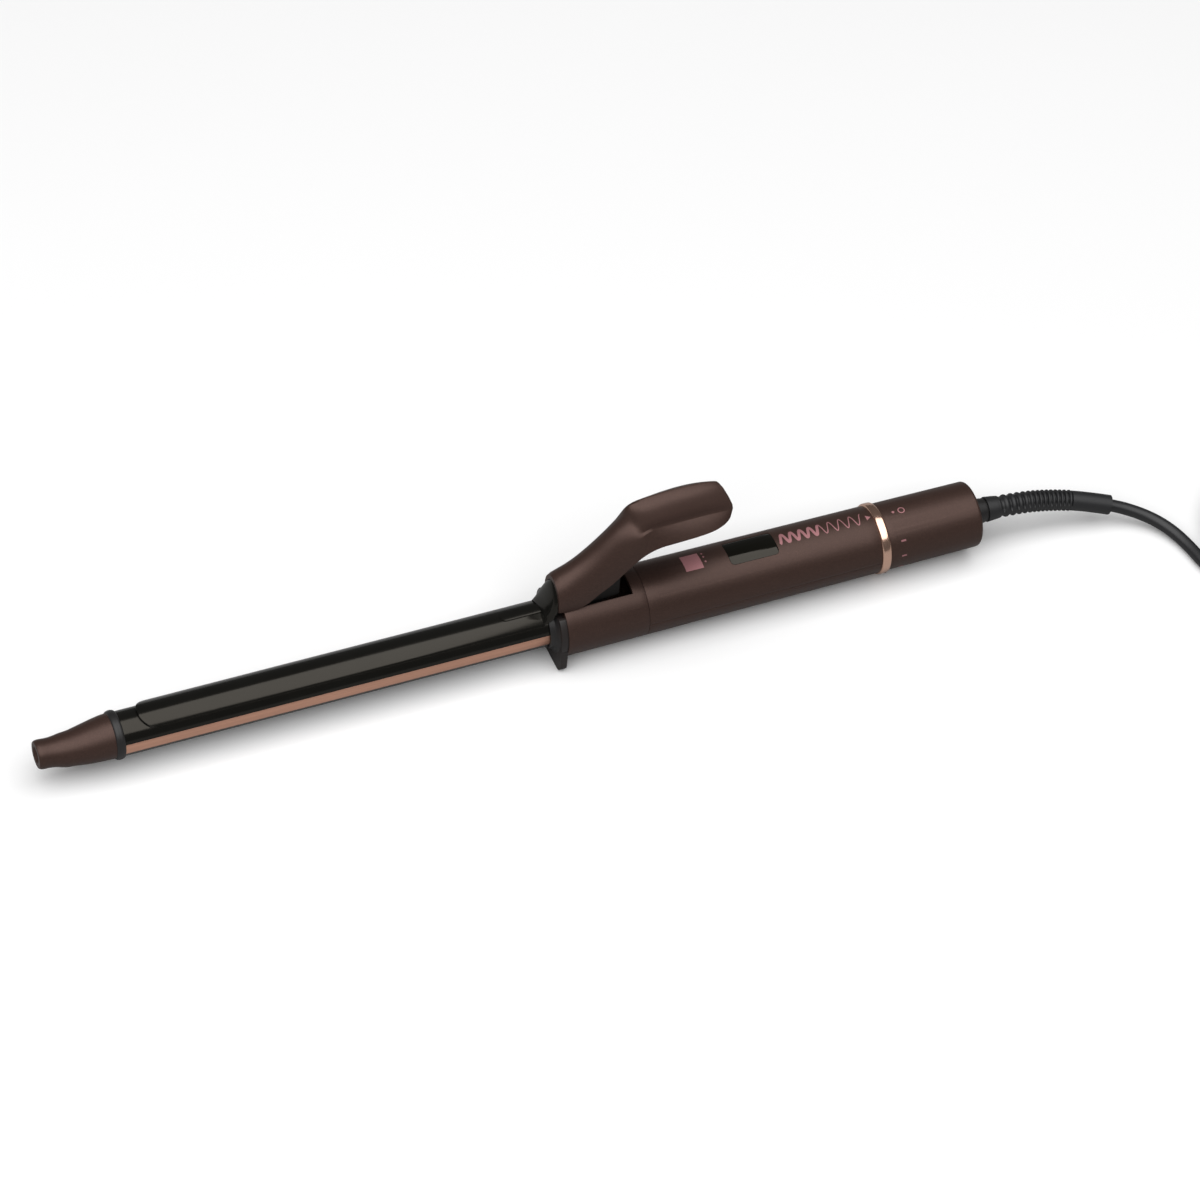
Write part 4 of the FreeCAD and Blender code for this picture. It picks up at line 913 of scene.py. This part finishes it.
def coil_points(pitch):
    """Points of the lead's put-away turns, from the lead's side round to the plug's side."""
    points = []
    steps = int(COIL_TURNS * POINTS_PER_TURN)
    for i in range(steps):
        turns = i / POINTS_PER_TURN
        index = min(int(turns), len(COIL_PLACES) - 2)
        share = max(0.0, (turns - index - CROSSING_FROM) / CROSSING_RUN)
        share = share * share * (3 - 2 * share) if turns < len(COIL_PLACES) - 1 else 1.0
        here, following = COIL_PLACES[index], COIL_PLACES[index + 1]
        column = here[0] + (following[0] - here[0]) * share
        layer = here[1] + (following[1] - here[1]) * share
        angle = COIL_START_ANGLE + FULL_TURN * turns
        # A spline of order 3 touches its points' straight runs at their middles, so they stand out.
        r = (COIL_MEAN_R + column * pitch) / math.cos(math.pi / POINTS_PER_TURN)
        station = COIL_CENTRE[0] + r * math.cos(angle)
        side = COIL_CENTRE[1] + r * math.sin(angle)
        points.append((station, side, COIL_LOW + layer * pitch))
    return points


class IRON_OT_cord(bpy.types.Operator):
    """Bend guard, mains lead, tie and plug"""

    bl_idname = "iron.cord"
    bl_label = "Cord"

    def execute(self, context):
        sizes = context.scene.iron_sizes
        thick = sizes.cord_diameter
        guide = spline_points([place(*p) for p in RELIEF_ROUTE], 60)
        length = sum((b - a).length for a, b in zip(guide, guide[1:]))
        ribs_start = GUARD_ROOT_LENGTH * MM
        ribs_end = GUARD_RIBS_END * MM

        def guard_radius(share, angle):
            run = share * length
            outer = (GUARD_R - GUARD_TAPER * min(run / ribs_end, 1.0)) * MM
            if run < ribs_start:
                return (GUARD_ROOT_R - GUARD_ROOT_DROP * run / ribs_start) * MM
            if run > ribs_end:
                return GUARD_SLEEVE_R * MM
            phase = (run % sizes.rib_pitch) / sizes.rib_pitch
            bulge = 0.0
            if phase < RIB_SHARE:
                bulge = max(0.0, math.sin(math.pi * min(phase / RIB_SHARE, 1.0))) ** RIB_FULLNESS
            spine = max(0.0, (abs(math.cos(angle)) - SPINE_FROM) / SPINE_FADE)
            core = outer - GROOVE_DEPTH * MM
            return core + (outer - core) * max(bulge, min(1.0, spine * SPINE_GAIN) * SPINE_HEIGHT)

        guard = finished_piece(
            "bend_guard",
            tube_along(guide, guard_radius, 32),
            "rubber",
            "root",
            ["strain_relief"],
            GUARD_SMOOTH_LIMIT,
        )
        route = [place(*p) for p in RELIEF_ROUTE[:-1] + LEAD_ROUTE + coil_points(thick / MM) + TAIL_ROUTE]
        curve = bpy.data.curves.new("mains_lead", "CURVE")
        curve.dimensions = "3D"
        curve.bevel_depth = thick / 2
        curve.bevel_resolution = 4
        curve.resolution_u = 6
        curve.use_fill_caps = True
        spline = curve.splines.new("NURBS")
        spline.points.add(len(route) - 1)
        for knot, point in zip(spline.points, route):
            knot.co = (*point, 1.0)
        spline.order_u = 3
        spline.use_endpoint_u = True
        curve.materials.append(finish_for("cord"))
        lead = bpy.data.objects.new("mains_lead", curve)
        context.scene.collection.objects.link(lead)
        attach(lead, "root")
        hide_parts("power_cord", "cord_coil", "cord_tail")
        strap = merged_copy("cord_tie", TIE_EDGE)
        tie = finished_piece("lead_tie", strap, "rubber", "root", ["cord_tie"])
        moulding = merged_copy("plug_body", PLUG_EDGE)
        plug = finished_piece("plug_moulding", moulding, "plug", "root", ["plug_body"])
        tuple(place(*RELIEF_ROUTE[0]))
        return {"FINISHED"}


# Nodes that are shown as they are, and nodes that the pieces above stand for.
INNER_FINISHES = {
    "tip_screw": "steel",
    "heater_core_upper": "aluminium",
    "heater_core_lower": "aluminium",
    "ptc_heater": "film",
    "barrel_plug": "ceramic",
    "heater_wires": "wire",
    "thermistor": "ceramic",
    "thermal_fuse": "steel",
    "pivot_pin": "steel",
    "clamp_spring": "blackened",
    "clamp_bracket": "blackened",
    "lever_screws": "steel",
    "shell_screws": "steel",
    "display_module": "component",
    "control_board": "board",
    "board_parts": "component",
    "mains_leads": "wire",
    "spindle": "collar",
    "encoder_body": "component",
    "dial_washer": "steel",
    "dial_rotor": "brass",
    "contact_rings": "brass",
    "contact_brushes": "brass",
    "plug_pins": "nickel",
}
OUTER_FINISHES = {
    "tip_cap": "plum",
    "tip_collar": "collar",
    "barrel_tube": "black",
    "barrel_strips": "copper",
    "front_collar": "collar",
    "stand_foot": "foot",
    "front_housing": "plum",
    "clamp_plate": "black",
    "clamp_neck": "black",
    "thumb_lever": "plum",
    "handle_shell_upper": "plum",
    "handle_shell_lower": "plum",
    "display_window": "lens",
    "trim_ring": "rose",
    "temperature_dial": "plum",
    "swivel_collar": "collar",
    "strain_relief": "rubber",
    "power_cord": "cord",
    "cord_coil": "cord",
    "cord_tail": "cord",
    "cord_tie": "rubber",
    "plug_body": "plug",
}


class IRON_OT_inner(bpy.types.Operator):
    """Finishes for the frame's own nodes"""

    bl_idname = "iron.inner"
    bl_label = "Inner parts"

    def execute(self, context):
        for node, finish in {**INNER_FINISHES, **OUTER_FINISHES}.items():
            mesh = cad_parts[node].data
            mesh.materials.clear()
            mesh.materials.append(finish_for(finish))
        return {"FINISHED"}


def area_light(name, position, target, size, power):
    """A white rectangular light that faces a point."""
    data = bpy.data.lights.new(name, "AREA")
    data.shape = "RECTANGLE"
    data.size, data.size_y = size
    data.energy = power
    light = bpy.data.objects.new(name, data)
    bpy.context.scene.collection.objects.link(light)
    light.location = position
    light.rotation_euler = (Vector(target) - Vector(position)).to_track_quat("-Z", "Y").to_euler()


FLOOR_HALF = 8.0
WORLD_STRENGTH = 0.12
SOFTBOX_AT, SOFTBOX_AIM = (-1.0, -0.91, 2.2), (-1.0, -0.91, 0.0)
SOFTBOX_SIZE, SOFTBOX_POWER = (5.6, 3.4), 138.0
CAMERA_LENS = 169.6
CAMERA_AT = (-0.6554, -1.4376, 1.7749)
CAMERA_RIGHT = (0.92620, -0.37237, 0.05919)
CAMERA_BACK = (-0.29124, -0.60686, 0.73952)


class IRON_OT_stage(bpy.types.Operator):
    """Floor, lights and camera"""

    bl_idname = "iron.stage"
    bl_label = "Stage"

    def execute(self, context):
        scene = context.scene
        bm = bmesh.new()
        bmesh.ops.create_grid(bm, x_segments=1, y_segments=1, size=FLOOR_HALF)
        mesh = bpy.data.meshes.new("floor")
        bm.to_mesh(mesh)
        bm.free()
        floor = bpy.data.objects.new("floor", mesh)
        mesh.materials.append(finish_for("floor"))
        scene.collection.objects.link(floor)
        world = bpy.data.worlds.new("studio")
        world.use_nodes = True
        background = world.node_tree.nodes["Background"]
        background.inputs["Color"].default_value = (1.0, 1.0, 1.0, 1.0)
        background.inputs["Strength"].default_value = WORLD_STRENGTH
        scene.world = world
        area_light("softbox", SOFTBOX_AT, SOFTBOX_AIM, SOFTBOX_SIZE, SOFTBOX_POWER)
        camera_data = bpy.data.cameras.new("camera")
        camera_data.sensor_width = 36.0
        camera_data.lens = CAMERA_LENS
        camera_data.clip_start = 0.05
        camera = bpy.data.objects.new("camera", camera_data)
        scene.collection.objects.link(camera)
        right = Vector(CAMERA_RIGHT)
        back = Vector(CAMERA_BACK)
        up = back.cross(right)
        turn = Matrix((right, up, back)).transposed().to_4x4()
        camera.matrix_world = Matrix.Translation(CAMERA_AT) @ turn
        scene.camera = camera
        scene.view_settings.view_transform = "Standard"
        return {"FINISHED"}


class IRON_PT_panel(bpy.types.Panel):
    """Sizes, colours and the steps in order"""

    bl_idname = "IRON_PT_panel"
    bl_label = "Curling iron"
    bl_space_type = "VIEW_3D"
    bl_region_type = "UI"
    bl_category = "Curling iron"

    def draw(self, context):
        for group in (context.scene.iron_sizes, context.scene.iron_colours):
            for name in group.bl_rna.properties.keys():
                if name not in ("rna_type", "name"):
                    self.layout.prop(group, name)
        for operator in STEPS:
            self.layout.operator(operator.bl_idname)


STEPS = (
    IRON_OT_stage,
    IRON_OT_inner,
    IRON_OT_cord,
    IRON_OT_tip,
    IRON_OT_clamp,
    IRON_OT_body,
    IRON_OT_dial,
    IRON_OT_marks,
)
CLASSES = (IronSizes, IronColours, *STEPS, IRON_PT_panel)


def register():
    for cls in CLASSES:
        bpy.utils.register_class(cls)
    bpy.types.Scene.iron_sizes = bpy.props.PointerProperty(type=IronSizes)
    bpy.types.Scene.iron_colours = bpy.props.PointerProperty(type=IronColours)


def unregister():
    del bpy.types.Scene.iron_colours
    del bpy.types.Scene.iron_sizes
    for cls in reversed(CLASSES):
        bpy.utils.unregister_class(cls)


def main():
    register()
    bpy.ops.iron.stage()
    bpy.ops.iron.inner()
    bpy.ops.iron.cord()
    bpy.ops.iron.tip()
    bpy.ops.iron.clamp()
    bpy.ops.iron.body()
    bpy.ops.iron.dial()
    bpy.ops.iron.marks()


if __name__ == "__main__":
    main()
